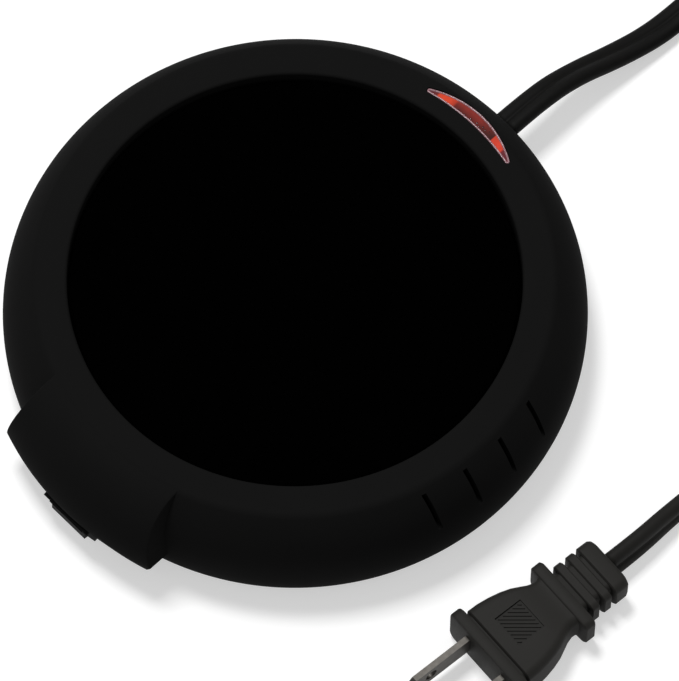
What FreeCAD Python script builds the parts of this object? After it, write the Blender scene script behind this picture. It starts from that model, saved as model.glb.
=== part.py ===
import FreeCAD, Part
import math
import os

# Electric mug warmer: a round moulded housing with a wide ring round a black warming plate, a switch
# pod at the front, an indicator lens at the rear, and a flat two-core cord with a two-blade plug.
# Millimetres. The table is Z = 0, the housing's axis is the Z axis, the pod faces -Y, the cord leaves at +Y.

V = FreeCAD.Vector
UP = V(0, 0, 1)
CENTRE = V(0, 0, 0)

# Housing
BASE_Z = 1.7  # underside of the base above the table
CROWN_Z = 31.0  # top of the ring
BASE_EDGE_R = 68.2
BELLY_R = 70.0
BELLY_Z = 14.0
SHOULDER_R = 63.3  # where wall and ring would meet with no rounding
SHOULDER_ROUND = 2.4
WALL = 2.2
LIP_R = 54.2  # the opening over the plate
LIP_WALL = 2.0
LIP_ROUND = 0.8
LIP_Z = 25.5  # lower edge of the lip, where the gasket seals
SEAM = 0.15  # gap between the base and the cover round it

# Vent panels on both sides of the wall
PANEL_PROUD = 0.55
PANEL_SPAN = 33.0  # degrees
PANEL_TOP_Z = 27.3
PANEL_SUNK = 1.0
VENT_ANGLES = (-15.0, -5.0, 5.0, 15.0)
VENT_WIDTH = 1.1
VENT_LOW_Z = 13.0
VENT_HIGH_Z = 29.4

# Switch pod
POD_HALF = 24.6
POD_R = 75.8  # reach of the brow from the axis
POD_START_R = 61.0
POD_TURN_R = 65.4  # where the pod's straight sides begin to curve out into the wall
BROW_Z = 12.2
POD_DROP = 0.1  # the pod's top leaves the ring this much below the crown
FACE_LEAN = 18.0  # degrees the front face tucks in under the brow
POD_FLARE = 4.5

# Case screws, at these angles from +X
POST_ANGLES = (22.0, 158.0, 202.0, 338.0)
POST_PITCH_R = 61.0
POST_R = 3.2
POST_Z = 6.5
SCREW_SHANK_R = 1.45
SCREW_FIT = 0.05
SCREW_LENGTH = 12.0
SCREW_HEAD_R = 2.75
SCREW_HEAD_H = 1.9
HEAD_ROOM = 0.3
HEAD_SEAT_Z = 4.4
DRIVE_WIDTH = 0.9
DRIVE_DEPTH = 1.0
DRIVE_SHARE = 0.6  # of the head's radius that the driver's cross or slot reaches

# Base
FLOOR_T = 2.0
RIM_T = 1.5
RIM_TOP_Z = 7.5
BOSS_R = 4.4
FOOT_ANGLES = (50.0, 130.0, 230.0, 310.0)
FOOT_PITCH_R = 56.0
FOOT_R = 5.0
FOOT_ROUND = 0.6
FOOT_SUNK = 1.0
FOOT_FIT = 0.15
SUPPORT_ANGLES = (45.0, 135.0, 225.0, 315.0)
SUPPORT_IN_R = 54.6
SUPPORT_OUT_R = 57.4
SUPPORT_WIDTH = 6.0
FLOOR_VENT_COUNT = 12
FLOOR_VENT_IN_R = 16.0
FLOOR_VENT_OUT_R = 38.0
FLOOR_VENT_WIDTH = 3.0

# Warming plate and its gasket
PLATE_TOP_Z = 28.8
PLATE_R = 53.7
PLATE_T = 1.2
PLATE_ROUND = 0.9
FLANGE_R = 57.0
FLANGE_T = 1.0
GASKET_T = 1.0
GASKET_SIDE = 0.3
STUD_R = 2.0
STUD_END_Z = 17.7

# Heater stack under the plate
STACK_R = 46.0
STUD_FIT = 0.15
MICA_T = 0.4
RIBBON_T = 0.3
RIBBON_WIDTH = 1.6
RIBBON_PITCH = 6.0
RIBBON_TURNS = 14
RIBBON_TAIL = 2.8
PAD_T = 3.0
PRESSURE_R = 44.0
PRESSURE_T = 0.8
PRESSURE_LIP = 1.6
WASHER_R = 4.5
WASHER_T = 0.8
NUT_ACROSS = 7.0
NUT_T = 3.2

# Thermal fuse in its sleeve, under the pressure plate
FUSE_Y = -20.0
FUSE_R = 2.0
FUSE_LENGTH = 10.0
SLEEVE_T = 0.5
SLEEVE_LENGTH = 17.0
CLIP_T = 0.7
CLIP_WIDTH = 5.0
CLIP_EAR = 4.5
SLIP = 0.05

# Indicator lens and lamp
LENS_OUT_Y = 62.2
LENS_IN_Y = 57.8
LENS_TIP_Y = 57.3
LENS_TIP_X = 13.65
LENS_TIP_ROUND = 0.7
LENS_FIT = 0.12
LENS_Z = 27.4
LENS_RECESS = 0.15
LENS_FLANGE_T = 1.0
LENS_FLANGE = 0.9
LAMP_Y = 60.0
LAMP_Z = 25.2
LAMP_R = 1.7
LAMP_END_ROUND = 1.36
LAMP_LENGTH = 15.0
LAMP_SLEEVE_T = 0.35
LAMP_SLEEVE_LENGTH = 11.0
LAMP_SHIFT = 1.6  # the sleeve sits towards the right end of the lens
BRACKET_SPAN = 35.0
BRACKET_IN_R = 57.6
BRACKET_OUT_R = 61.8
BRACKET_T = 1.0
BRACKET_POST = 2.4
RESISTOR_R = 1.0
RESISTOR_LENGTH = 5.5
RESISTOR_Z = 11.5

# Rocker switch, in its own frame: x across, y up the face, z out of the face
FACE_Z = 6.9
BEZEL_WIDTH = 15.0
BEZEL_HEIGHT = 9.0
BEZEL_T = 1.1
BEZEL_SUNK = 0.5
BEZEL_ROUND = 1.0
SHELL_WIDTH = 12.8
SHELL_HEIGHT = 7.6
SHELL_WALL = 0.65
SHELL_DEPTH = 9.0
SHELL_FLOOR = 0.8
PANEL_FIT = 0.12
ROCKER_GAP = 0.12
PIVOT_DEPTH = 0.3  # the pivot is this far inside the face
ROCKER_RISE = 1.25  # from the pivot to the valley of the rocker's top
ROCKER_TILT = 10.0  # degrees each side of level
ROCKER_SKIRT = 1.2
PIN_R = 0.7
PIN_FIT = 0.05
PIN_REACH = 0.4
PLUNGER_R = 0.8
PLUNGER_TIP = 2.9  # from the pivot to the centre of the tip
PLUNGER_LENGTH = 2.2
PLUNGER_BORE = 1.9  # depth of the bore above the pivot end
BORE_FIT = 0.06
SPRING_WALL = 0.3
LEVER_PIVOT = 4.5
LEVER_HALF = 2.6
LEVER_WIDTH = 3.0
LEVER_T = 0.4
LEVER_TILT = 6.0
TERMINAL_T = 0.5
TERMINAL_WIDTH = 2.8
TERMINAL_OUT = 4.5
TERMINAL_GAP = 0.1
TERMINAL_HOLE_IN = 1.8  # from the terminal's outer end to its hole
CONTACT_Y = 2.2
CONTACT_CLEAR = 0.5

# Cord: a flat two-core lead that leaves lying flat, and stands on its edge in the coil and at the plug
CORD_WIDTH = 7.3
CORD_THICK = 3.7
CORD_EXIT_Z = 13.0
CORD_HOLE_FIT = 0.3
CORD_IN_Y = 50.0  # inner end of the cord's jacket
CORD_OUT_Y = 70.5
CLAMP_Y = 58.0
CLAMP_POST_X = 6.6
CLAMP_POST_R = 2.6
CLAMP_BAR_T = 2.0
CLAMP_BAR_DEPTH = 5.2
CLAMP_BAR_ROUND = 2.3
CLAMP_SCREW_R = 1.2
CLAMP_SCREW_LENGTH = 7.0
CLAMP_HEAD_R = 2.3
CLAMP_HEAD_H = 1.5
SADDLE_WIDTH = 3.0
TWIST_LENGTH = 27.0  # over which the cord turns on its edge before the coil
TWIST_STEPS = 4

# Coil of the put-away length
COIL_X = 50.2
COIL_Y = 164.0
COIL_MEAN_R = 43.0
COIL_SIDE_GAP = 1.4
COIL_LAYER_GAP = 0.9
COIL_HALF_TURNS = 2  # half turns on the lower layer before the climb
SELF_GAP_STEP = 2.0

# Inner wires
WIRE_R = 0.9
LEAD_R = 0.5
WIRE_BEND = 3.0
CRIMP_R = 2.4
CRIMP_LENGTH = 9.0
CRIMP_ROUND = 1.2
NEUTRAL_CRIMP = (18.0, 14.0, 7.0)
SWITCHED_CRIMP = (24.0, -14.0, 8.0)
LEAD_X = 11.5
LEAD_HOLE_R = 0.9

# Plug, in its own frame: x from the flange's face towards the cord, y across, z up
PLUG_X = 95.1
PLUG_Y = -29.8
PLUG_HEADING = 85.5  # degrees from +X of the way from the flange to the cord
PLUG_AXIS_Z = 6.6
PLUG_FLANGE_HALF = 13.0
PLUG_FLANGE_H = 13.2
PLUG_FLANGE_T = 3.0
PLUG_BODY_HALF = 11.4
PLUG_BODY_H = 11.4
PLUG_WAIST_X = 20.8
PLUG_WAIST_HALF = 7.3
PLUG_WAIST_H = 9.0
PLUG_TAPER = ((0.0, 0.0), (0.35, 0.08), (0.72, 0.42), (1.0, 1.0))  # share of the way, and of the narrowing
PLUG_EAR_X = 22.6
PLUG_EAR_T = 3.0
PLUG_EAR_HALF = 10.3
PLUG_EAR_H = 10.0
PLUG_NECK_HALF = 5.6
PLUG_NECK_H = 7.4
PLUG_RIB_COUNT = 3
PLUG_RIB_PITCH = 3.7
PLUG_RIB_T = 2.3
PLUG_RIB_HALF = 7.4
PLUG_RIB_H = 8.6
PLUG_RIB_GAP = 1.5
PLUG_LENGTH = 38.6
PLUG_CORNER = 3.4
PLUG_LEAD = 9.0  # the cord's straight way behind the plug
BLADE_SPACING = 12.7
BLADE_HEIGHT = 6.35
BLADE_T = 1.5
BLADE_OUT = 17.5
BLADE_IN = 6.0
BLADE_HOLE_R = 1.6
BLADE_HOLE_X = 11.7
BLADE_CHAMFER = 1.2

FLOOR_TOP_Z = BASE_Z + FLOOR_T
PLATE_UNDER_Z = PLATE_TOP_Z - PLATE_T
RING_UNDER_Z = CROWN_Z - WALL
FLANGE_Z = LIP_Z - GASKET_T - FLANGE_T
EPS = 0.01


def cylinder(radius, low, high, x=0.0, y=0.0):
    return Part.makeCylinder(radius, high - low, V(x, y, low))


def tube(outer, inner, low, high, x=0.0, y=0.0):
    return cylinder(outer, low, high, x, y).cut(cylinder(inner, low, high, x, y))


def rod(radius, start, end):
    along = end - start
    return Part.makeCylinder(radius, along.Length, start, along)


def block(x0, x1, y0, y1, z0, z1):
    return Part.makeBox(x1 - x0, y1 - y0, z1 - z0, V(x0, y0, z0))


def polar(radius, degrees, z=0.0):
    angle = math.radians(degrees)
    return V(radius * math.cos(angle), radius * math.sin(angle), z)


def spun(shape, degrees):
    copy = shape.copy()
    copy.rotate(CENTRE, UP, degrees)
    return copy


def circle_through(first, middle, last):
    return Part.Arc(first, middle, last).toShape().Curve


def face_of(edges):
    return Part.Face(Part.Wire(edges))


def lathe(points, degrees=360.0):
    """Turns a closed outline of (radius, height) points about the axis."""
    corners = [V(r, 0, z) for r, z in points]
    return Part.Face(Part.makePolygon(corners + corners[:1])).revolve(CENTRE, UP, degrees)


def fused(shapes):
    whole = shapes[0].multiFuse(shapes[1:])
    return whole.removeSplitter()


def write(node, shape):
    if shape.ShapeType == "Compound" and len(shape.Solids) == 1:
        shape = shape.Solids[0]
    if not shape.isValid() or not shape.Solids:
        raise ValueError(node + " is not a valid solid")
    print(node, len(shape.Solids), round(shape.Volume, 1))
    shape.exportStep(os.path.join("parts", node + ".step"))


# The bellied wall is one arc of this circle, and its inner side a smaller arc about the same centre
BELLY = circle_through(V(BASE_EDGE_R, 0, BASE_Z), V(BELLY_R, 0, BELLY_Z), V(SHOULDER_R, 0, CROWN_Z))


def wall_r(z, inset=0.0):
    """Radius of the wall's outer side at a height, or of the surface that far inside it."""
    return BELLY.Center.x + math.sqrt((BELLY.Radius - inset) ** 2 - (z - BELLY.Center.z) ** 2)


def wall_edge(low, high, inset=0.0):
    """The wall's curve between two heights."""
    heights = (low, (low + high) / 2, high)
    return Part.Arc(*[V(wall_r(z, inset), 0, z) for z in heights]).toShape()


def line(r0, z0, r1, z1):
    return Part.makeLine(V(r0, 0, z0), V(r1, 0, z1))


def rim_edges(shape, radius, z):
    """The full circles of a turned shape at one radius and height."""
    found = []
    for edge in shape.Edges:
        curve = edge.Curve
        if isinstance(curve, Part.Circle) and abs(curve.Radius - radius) < EPS:
            if abs(curve.Center.z - z) < EPS:
                found.append(edge)
    return found


# Top cover


def cover_shell():
    """Wall, ring and lip, turned in one piece from their section."""
    top_r = wall_r(CROWN_Z)
    under_r = wall_r(RING_UNDER_Z, WALL)
    low_r = wall_r(BASE_Z, WALL)
    lip_out = LIP_R + LIP_WALL
    section = [
        wall_edge(BASE_Z, CROWN_Z),
        line(top_r, CROWN_Z, LIP_R, CROWN_Z),
        line(LIP_R, CROWN_Z, LIP_R, LIP_Z),
        line(LIP_R, LIP_Z, lip_out, LIP_Z),
        line(lip_out, LIP_Z, lip_out, RING_UNDER_Z),
        line(lip_out, RING_UNDER_Z, under_r, RING_UNDER_Z),
        wall_edge(RING_UNDER_Z, BASE_Z, WALL),
        line(low_r, BASE_Z, wall_r(BASE_Z), BASE_Z),
    ]
    shell = face_of(section).revolve(CENTRE, UP, 360)
    shell = shell.makeFillet(SHOULDER_ROUND, rim_edges(shell, top_r, CROWN_Z))
    return shell.makeFillet(LIP_ROUND, rim_edges(shell, LIP_R, CROWN_Z))


def cover_room():
    """The space inside the wall and under the ring, a slip wider so that what is cut with it starts in the wall."""
    top = RING_UNDER_Z + SLIP
    section = [
        wall_edge(BASE_Z, top, WALL - SLIP),
        line(wall_r(top, WALL - SLIP), top, 0, top),
        line(0, top, 0, BASE_Z),
        line(0, BASE_Z, wall_r(BASE_Z, WALL - SLIP), BASE_Z),
    ]
    return face_of(section).revolve(CENTRE, UP, 360)


def pod_foot_r():
    return POD_R - math.tan(math.radians(FACE_LEAN)) * (BROW_Z - BASE_Z)


def pod_turned(start, inset):
    """The pod's section turned about the axis: a convex top, the brow, and the face tucked in below it."""
    reach = POD_R - POD_START_R - inset
    rise = CROWN_Z - POD_DROP - BROW_Z - inset
    foot = pod_foot_r() - inset / math.cos(math.radians(FACE_LEAN))
    centre = V(POD_START_R, 0, BROW_Z)
    brow = centre + V(reach, 0, 0)
    peak = centre + V(0, 0, rise)
    oval = Part.Ellipse(peak, brow, centre)
    quarter = Part.Edge(oval, -math.pi / 2, 0)
    ends = [vertex.Point for vertex in quarter.Vertexes]
    if (ends[0] - brow).Length > EPS and (ends[1] - brow).Length > EPS:
        quarter = Part.Edge(oval, 0, math.pi / 2)
    section = [
        quarter,
        Part.makeLine(peak, V(start, 0, peak.z)),
        line(start, peak.z, start, BASE_Z),
        line(start, BASE_Z, foot, BASE_Z),
        Part.makeLine(V(foot, 0, BASE_Z), brow),
    ]
    return face_of(Part.__sortEdges__(section)).revolve(CENTRE, UP, 360)


def pod_plan(half, flare):
    """Plan outline of the pod, standing as a prism; with a flare, its sides curve out into the wall."""
    front = -(POD_R + WALL)
    turn_y = -POD_TURN_R
    back_y = turn_y + POD_FLARE
    inner_y = -POD_START_R + WALL * 2
    if flare:
        bend = V(half + POD_FLARE * (1 - math.sqrt(0.5)), turn_y + POD_FLARE * math.sqrt(0.5), 0)
        corner = V(half + POD_FLARE, back_y, 0)
        right = [
            Part.makeLine(V(half, front, 0), V(half, turn_y, 0)),
            Part.Arc(V(half, turn_y, 0), bend, corner).toShape(),
            Part.makeLine(corner, V(half + POD_FLARE, inner_y, 0)),
        ]
        left = [edge.mirror(CENTRE, V(1, 0, 0)) for edge in right]
        wide = half + POD_FLARE
        ends = [Part.makeLine(V(-half, front, 0), V(half, front, 0))]
        ends.append(Part.makeLine(V(-wide, inner_y, 0), V(wide, inner_y, 0)))
        plan = Part.Face(Part.Wire(Part.__sortEdges__(right + left + ends)))
    else:
        plan = Part.makePlane(2 * half, inner_y - front, V(-half, front, 0))
    return plan.extrude(V(0, 0, CROWN_Z + WALL))


def switch_place():
    """Where the switch's frame sits: on the pod's face, z out of it and y up it."""
    out = pod_foot_r() + math.tan(math.radians(FACE_LEAN)) * (FACE_Z - BASE_Z)
    return FreeCAD.Placement(V(0, -out, FACE_Z), FreeCAD.Rotation(V(1, 0, 0), 90 + FACE_LEAN))


def in_pod(shape):
    """Moves a shape from the switch's frame to the pod's face."""
    copy = shape.copy()
    copy.Placement = switch_place().multiply(copy.Placement)
    return copy


def cord_hole():
    """A stadium prism along Y, wider than tall, round the flat cord."""
    low = CORD_THICK / 2 + CORD_HOLE_FIT
    reach = (CORD_WIDTH - CORD_THICK) / 2
    far = BELLY_R + WALL
    body = block(-reach, reach, POST_PITCH_R, far, CORD_EXIT_Z - low, CORD_EXIT_Z + low)
    ends = [rod(low, V(x, POST_PITCH_R, CORD_EXIT_Z), V(x, far, CORD_EXIT_Z)) for x in (-reach, reach)]
    return fused([body] + ends)


def vent_panel():
    low = wall_edge(BASE_Z, PANEL_TOP_Z, -PANEL_PROUD)
    high_r = wall_r(PANEL_TOP_Z, -PANEL_PROUD)
    inner = wall_edge(PANEL_TOP_Z, BASE_Z, PANEL_SUNK)
    section = [
        low,
        line(high_r, PANEL_TOP_Z, wall_r(PANEL_TOP_Z, PANEL_SUNK), PANEL_TOP_Z),
        inner,
        line(wall_r(BASE_Z, PANEL_SUNK), BASE_Z, wall_r(BASE_Z, -PANEL_PROUD), BASE_Z),
    ]
    return spun(face_of(section).revolve(CENTRE, UP, PANEL_SPAN), -PANEL_SPAN / 2)


def vent_slot():
    inner = LIP_R + LIP_WALL + WALL
    outer = BELLY_R + 2 * WALL
    half = VENT_WIDTH / 2
    slot = block(inner, outer, -half, half, VENT_LOW_Z, VENT_HIGH_Z)
    return slot.fuse(rod(half, V(inner, 0, VENT_LOW_Z), V(outer, 0, VENT_LOW_Z)))


def lens_outline(grow):
    """Crescent outline: a bowed outer arc and a nearly straight inner one, moved out by grow."""
    left = V(-LENS_TIP_X, LENS_TIP_Y, 0)
    right = V(LENS_TIP_X, LENS_TIP_Y, 0)
    outer = circle_through(left, V(0, LENS_OUT_Y, 0), right)
    inner = circle_through(right, V(0, LENS_IN_Y, 0), left)
    big = Part.makeCylinder(outer.Radius + grow, CROWN_Z, V(0, outer.Center.y, 0))
    hollow = Part.makeCylinder(inner.Radius - grow, CROWN_Z, V(0, inner.Center.y, 0))
    crescent = big.cut(hollow)
    tips = [e for e in crescent.Edges if e.Length > CROWN_Z - EPS and abs(e.CenterOfMass.x) > LENS_TIP_X / 2]
    tips = [e for e in tips if isinstance(e.Curve, Part.Line)]
    return crescent.makeFillet(LENS_TIP_ROUND, tips)


def lens_prism(grow, low, high):
    outline = lens_outline(grow)
    slab = block(-BELLY_R, BELLY_R, 0, BELLY_R + WALL, low, high)
    raised = outline.copy()
    raised.translate(V(0, 0, WALL))
    return raised.common(slab)


def top_cover():
    pod = pod_turned(POD_START_R - SLIP, 0.0).common(pod_plan(POD_HALF, True)).cut(cover_room())
    hollow = pod_turned(POD_START_R - 2 * SLIP, WALL).common(pod_plan(POD_HALF - WALL, False))
    panel = vent_panel()
    body = fused([cover_shell(), pod, panel, spun(panel, 180)]).cut(hollow)
    posts = []
    for angle in POST_ANGLES:
        at = polar(POST_PITCH_R, angle)
        posts.append(cylinder(POST_R, POST_Z, RING_UNDER_Z + SLIP, at.x, at.y))
    body = fused([body] + posts)
    cuts = [spun(vent_slot(), side + angle) for side in (0, 180) for angle in VENT_ANGLES]
    hole_top = HEAD_SEAT_Z + SCREW_LENGTH + SLIP
    for angle in POST_ANGLES:
        at = polar(POST_PITCH_R, angle)
        cuts.append(cylinder(SCREW_SHANK_R + SCREW_FIT, POST_Z - SLIP, hole_top, at.x, at.y))
    cuts.append(lens_prism(LENS_FIT, LENS_Z, CROWN_Z + WALL))
    cuts.append(cord_hole())
    wide = BEZEL_WIDTH / 2 + PANEL_FIT
    tall = BEZEL_HEIGHT / 2 + PANEL_FIT
    cuts.append(in_pod(block(-wide, wide, -tall, tall, -BEZEL_SUNK, 2 * WALL)))
    wide = SHELL_WIDTH / 2 + PANEL_FIT
    tall = SHELL_HEIGHT / 2 + PANEL_FIT
    cuts.append(in_pod(block(-wide, wide, -tall, tall, -3 * WALL, 2 * WALL)))
    return body.cut(Part.makeCompound(cuts))


# Base cover


def floor_vent():
    half = FLOOR_VENT_WIDTH / 2
    slot = block(FLOOR_VENT_IN_R, FLOOR_VENT_OUT_R, -half, half, 0, FLOOR_TOP_Z + WALL)
    ends = [cylinder(half, 0, FLOOR_TOP_Z + WALL, r) for r in (FLOOR_VENT_IN_R, FLOOR_VENT_OUT_R)]
    return fused([slot] + ends)


def clamp_post(side):
    return cylinder(CLAMP_POST_R, BASE_Z + SLIP, clamp_top_z(), side * CLAMP_POST_X, CLAMP_Y)


def base_cover():
    disc_r = wall_r(BASE_Z, WALL) - SEAM
    disc = cylinder(disc_r, BASE_Z, FLOOR_TOP_Z)
    tongue_r = pod_foot_r() - WALL / math.cos(math.radians(FACE_LEAN)) - SEAM
    tongue_half = POD_HALF - WALL - SEAM
    tongue = cylinder(tongue_r, BASE_Z, FLOOR_TOP_Z)
    tongue = tongue.common(block(-tongue_half, tongue_half, -POD_R, -POD_START_R / 2, 0, CROWN_Z))
    rim = tube(disc_r, disc_r - RIM_T, FLOOR_TOP_Z - SLIP, RIM_TOP_Z)
    gap = POD_HALF + POD_FLARE
    rim = rim.cut(block(-gap, gap, -POD_R, 0, 0, CROWN_Z))
    adds = [disc, tongue, rim]
    for angle in POST_ANGLES:
        at = polar(POST_PITCH_R, angle)
        adds.append(cylinder(BOSS_R, BASE_Z + SLIP, POST_Z, at.x, at.y).common(cylinder(disc_r, 0, CROWN_Z)))
    half = SUPPORT_WIDTH / 2
    support = block(SUPPORT_IN_R, SUPPORT_OUT_R, -half, half, FLOOR_TOP_Z - SLIP, FLANGE_Z)
    adds += [spun(support, angle) for angle in SUPPORT_ANGLES]
    adds += [clamp_post(-1), clamp_post(1)]
    saddle_top = CORD_EXIT_Z - CORD_THICK / 2
    half = SADDLE_WIDTH / 2
    adds.append(block(-CLAMP_POST_X, CLAMP_POST_X, CLAMP_Y - half, CLAMP_Y + half, BASE_Z + SLIP, saddle_top))
    base = fused(adds)
    cuts = [spun(floor_vent(), i * 360 / FLOOR_VENT_COUNT) for i in range(FLOOR_VENT_COUNT)]
    for angle in POST_ANGLES:
        at = polar(POST_PITCH_R, angle)
        cuts.append(cylinder(SCREW_HEAD_R + HEAD_ROOM, 0, HEAD_SEAT_Z, at.x, at.y))
        cuts.append(cylinder(SCREW_SHANK_R + SCREW_FIT, 0, POST_Z + SLIP, at.x, at.y))
        cuts.append(cylinder(POST_R + SEAM, POST_Z, RIM_TOP_Z + SLIP, at.x, at.y))
    for angle in FOOT_ANGLES:
        at = polar(FOOT_PITCH_R, angle)
        cuts.append(cylinder(FOOT_R + FOOT_FIT, 0, BASE_Z + FOOT_SUNK, at.x, at.y))
    screw_end = clamp_top_z() + CLAMP_BAR_T - CLAMP_SCREW_LENGTH
    for side in (-1, 1):
        x = side * CLAMP_POST_X
        cuts.append(cylinder(CLAMP_SCREW_R + SCREW_FIT, screw_end - SLIP, CROWN_Z, x, CLAMP_Y))
    return base.cut(Part.makeCompound(cuts))


def case_screws():
    made = []
    for angle in POST_ANGLES:
        at = polar(POST_PITCH_R, angle)
        head = cylinder(SCREW_HEAD_R, HEAD_SEAT_Z - SCREW_HEAD_H, HEAD_SEAT_Z, at.x, at.y)
        shank = cylinder(SCREW_SHANK_R, HEAD_SEAT_Z, HEAD_SEAT_Z + SCREW_LENGTH, at.x, at.y)
        screw = head.fuse(shank)
        low = HEAD_SEAT_Z - SCREW_HEAD_H
        reach = SCREW_HEAD_R * DRIVE_SHARE
        half = DRIVE_WIDTH / 2
        for long_x, long_y in ((reach, half), (half, reach)):
            slot = block(at.x - long_x, at.x + long_x, at.y - long_y, at.y + long_y, low, low + DRIVE_DEPTH)
            screw = screw.cut(slot)
        made.append(screw)
    return Part.makeCompound(made)


def rubber_foot(angle):
    at = polar(FOOT_PITCH_R, angle)
    foot = cylinder(FOOT_R, 0, BASE_Z + FOOT_SUNK, at.x, at.y)
    return foot.makeFillet(FOOT_ROUND, rim_edges(foot, FOOT_R, 0))


# Plate and heater stack


def warming_plate():
    inner = PLATE_R - PLATE_T
    section = [
        (0, PLATE_TOP_Z),
        (PLATE_R, PLATE_TOP_Z),
        (PLATE_R, FLANGE_Z + FLANGE_T),
        (FLANGE_R, FLANGE_Z + FLANGE_T),
        (FLANGE_R, FLANGE_Z),
        (inner, FLANGE_Z),
        (inner, PLATE_UNDER_Z),
        (STUD_R, PLATE_UNDER_Z),
        (STUD_R, STUD_END_Z),
        (0, STUD_END_Z),
    ]
    pan = lathe(section)
    return pan.makeFillet(PLATE_ROUND, rim_edges(pan, PLATE_R, PLATE_TOP_Z))


def plate_gasket():
    return tube(FLANGE_R - GASKET_SIDE, LIP_R + GASKET_SIDE, LIP_Z - GASKET_T, LIP_Z)


def stack_heights():
    """Top face of each layer, from the plate's underside down."""
    tops = {}
    z = PLATE_UNDER_Z
    layers = (
        ("mica_upper", MICA_T),
        ("heater_ribbon", RIBBON_T),
        ("mica_lower", MICA_T),
        ("insulation_pad", PAD_T),
        ("pressure_plate", PRESSURE_T),
        ("clamp_washer", WASHER_T),
        ("clamp_nut", NUT_T),
    )
    for name, thick in layers:
        tops[name] = z
        z -= thick
    return tops


STACK = stack_heights()


def stack_disc(name, thick, radius):
    return tube(radius, STUD_R + STUD_FIT, STACK[name] - thick, STACK[name])


def ribbon_tail_x():
    return (RIBBON_TURNS - 1) * RIBBON_PITCH / 2


def heater_ribbon():
    """A flat resistance ribbon laid to and fro across the disc, with a tail at each end."""
    low = STACK["heater_ribbon"] - RIBBON_T
    half = RIBBON_WIDTH / 2
    inner_r = STACK_R - RIBBON_WIDTH
    bars = []
    ends = []
    for i in range(RIBBON_TURNS):
        x = (i - (RIBBON_TURNS - 1) / 2) * RIBBON_PITCH
        reach = math.sqrt(inner_r**2 - (abs(x) + RIBBON_PITCH / 2) ** 2)
        bars.append([x - half, x + half, -reach, reach])
        ends.append(reach)
    for i in range(RIBBON_TURNS - 1):
        side = 1 if i % 2 == 0 else -1
        near = min(ends[i], ends[i + 1])
        y = side * near
        span = [bars[i][0], bars[i + 1][1], min(y, y - side * 2 * half), max(y, y - side * 2 * half)]
        bars[i][3 if side > 0 else 2] = y
        bars[i + 1][3 if side > 0 else 2] = y
        bars.append(span)
    tail = math.sqrt((STACK_R + RIBBON_TAIL) ** 2 - ribbon_tail_x() ** 2)
    bars[0][2] = -tail
    bars[RIBBON_TURNS - 1][2] = -tail
    ribbon = fused([block(*bar, low, low + RIBBON_T) for bar in bars])
    return ribbon.cut(cylinder(STUD_R + STUD_FIT, 0, CROWN_Z))


def pressure_plate():
    disc = stack_disc("pressure_plate", PRESSURE_T, PRESSURE_R)
    low = STACK["pressure_plate"] - PRESSURE_T - PRESSURE_LIP
    lip = tube(PRESSURE_R, PRESSURE_R - PRESSURE_T, low, STACK["pressure_plate"] - EPS)
    return fused([disc, lip])


def clamp_nut():
    top = STACK["clamp_nut"]
    corner = NUT_ACROSS / 2 / math.cos(math.radians(30))
    points = [polar(corner, 60 * i, top - NUT_T) for i in range(6)]
    prism = Part.Face(Part.makePolygon(points + points[:1])).extrude(V(0, 0, NUT_T))
    return prism.cut(cylinder(STUD_R + SLIP, 0, CROWN_Z))


# Thermal fuse


def fuse_z():
    return STACK["pressure_plate"] - PRESSURE_T - SLIP - FUSE_R - SLIP - SLEEVE_T


def thermal_fuse():
    half = FUSE_LENGTH / 2
    can = rod(FUSE_R, V(-half, FUSE_Y, fuse_z()), V(half, FUSE_Y, fuse_z()))
    reach = SLEEVE_LENGTH / 2
    leads = rod(LEAD_R, V(-reach, FUSE_Y, fuse_z()), V(reach, FUSE_Y, fuse_z()))
    return fused([can, leads])


def fuse_sleeve():
    half = SLEEVE_LENGTH / 2
    inner = FUSE_R + SLIP
    ends = (V(-half, FUSE_Y, fuse_z()), V(half, FUSE_Y, fuse_z()))
    return rod(inner + SLEEVE_T, *ends).cut(rod(inner, *ends))


def fuse_clip():
    """A strap bent under the sleeve, its two ears riveted flat to the pressure plate."""
    top = STACK["pressure_plate"] - PRESSURE_T
    z = fuse_z()
    inner = FUSE_R + 2 * SLIP + SLEEVE_T
    outer = inner + CLIP_T
    half = CLIP_WIDTH / 2
    strap = rod(outer, V(-half, FUSE_Y, z), V(half, FUSE_Y, z))
    walls = block(-half, half, FUSE_Y - outer, FUSE_Y + outer, z, top)
    reach = outer + CLIP_EAR
    ears = block(-half, half, FUSE_Y - reach, FUSE_Y + reach, top - CLIP_T, top)
    cuts = [rod(inner, V(-CLIP_WIDTH, FUSE_Y, z), V(CLIP_WIDTH, FUSE_Y, z))]
    cuts.append(block(-CLIP_WIDTH, CLIP_WIDTH, FUSE_Y - inner, FUSE_Y + inner, z, top + 1))
    cuts.append(block(-CLIP_WIDTH, CLIP_WIDTH, FUSE_Y - reach, FUSE_Y + reach, top, top + 1 + outer))
    return fused([strap, walls, ears]).cut(Part.makeCompound(cuts))


# Indicator


def indicator_lens():
    crown = fused([cover_shell(), cylinder(LENS_OUT_Y, LENS_Z, CROWN_Z)])
    crown.translate(V(0, 0, -LENS_RECESS))
    stem = lens_prism(0.0, LENS_Z, CROWN_Z).common(crown)
    flange = lens_prism(LENS_FLANGE, RING_UNDER_Z - LENS_FLANGE_T, RING_UNDER_Z - SLIP)
    room = cylinder(wall_r(RING_UNDER_Z, WALL) - SEAM, 0, CROWN_Z)
    room = room.cut(cylinder(LIP_R + LIP_WALL + SEAM, 0, CROWN_Z))
    return fused([stem, flange.common(room)])


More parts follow.
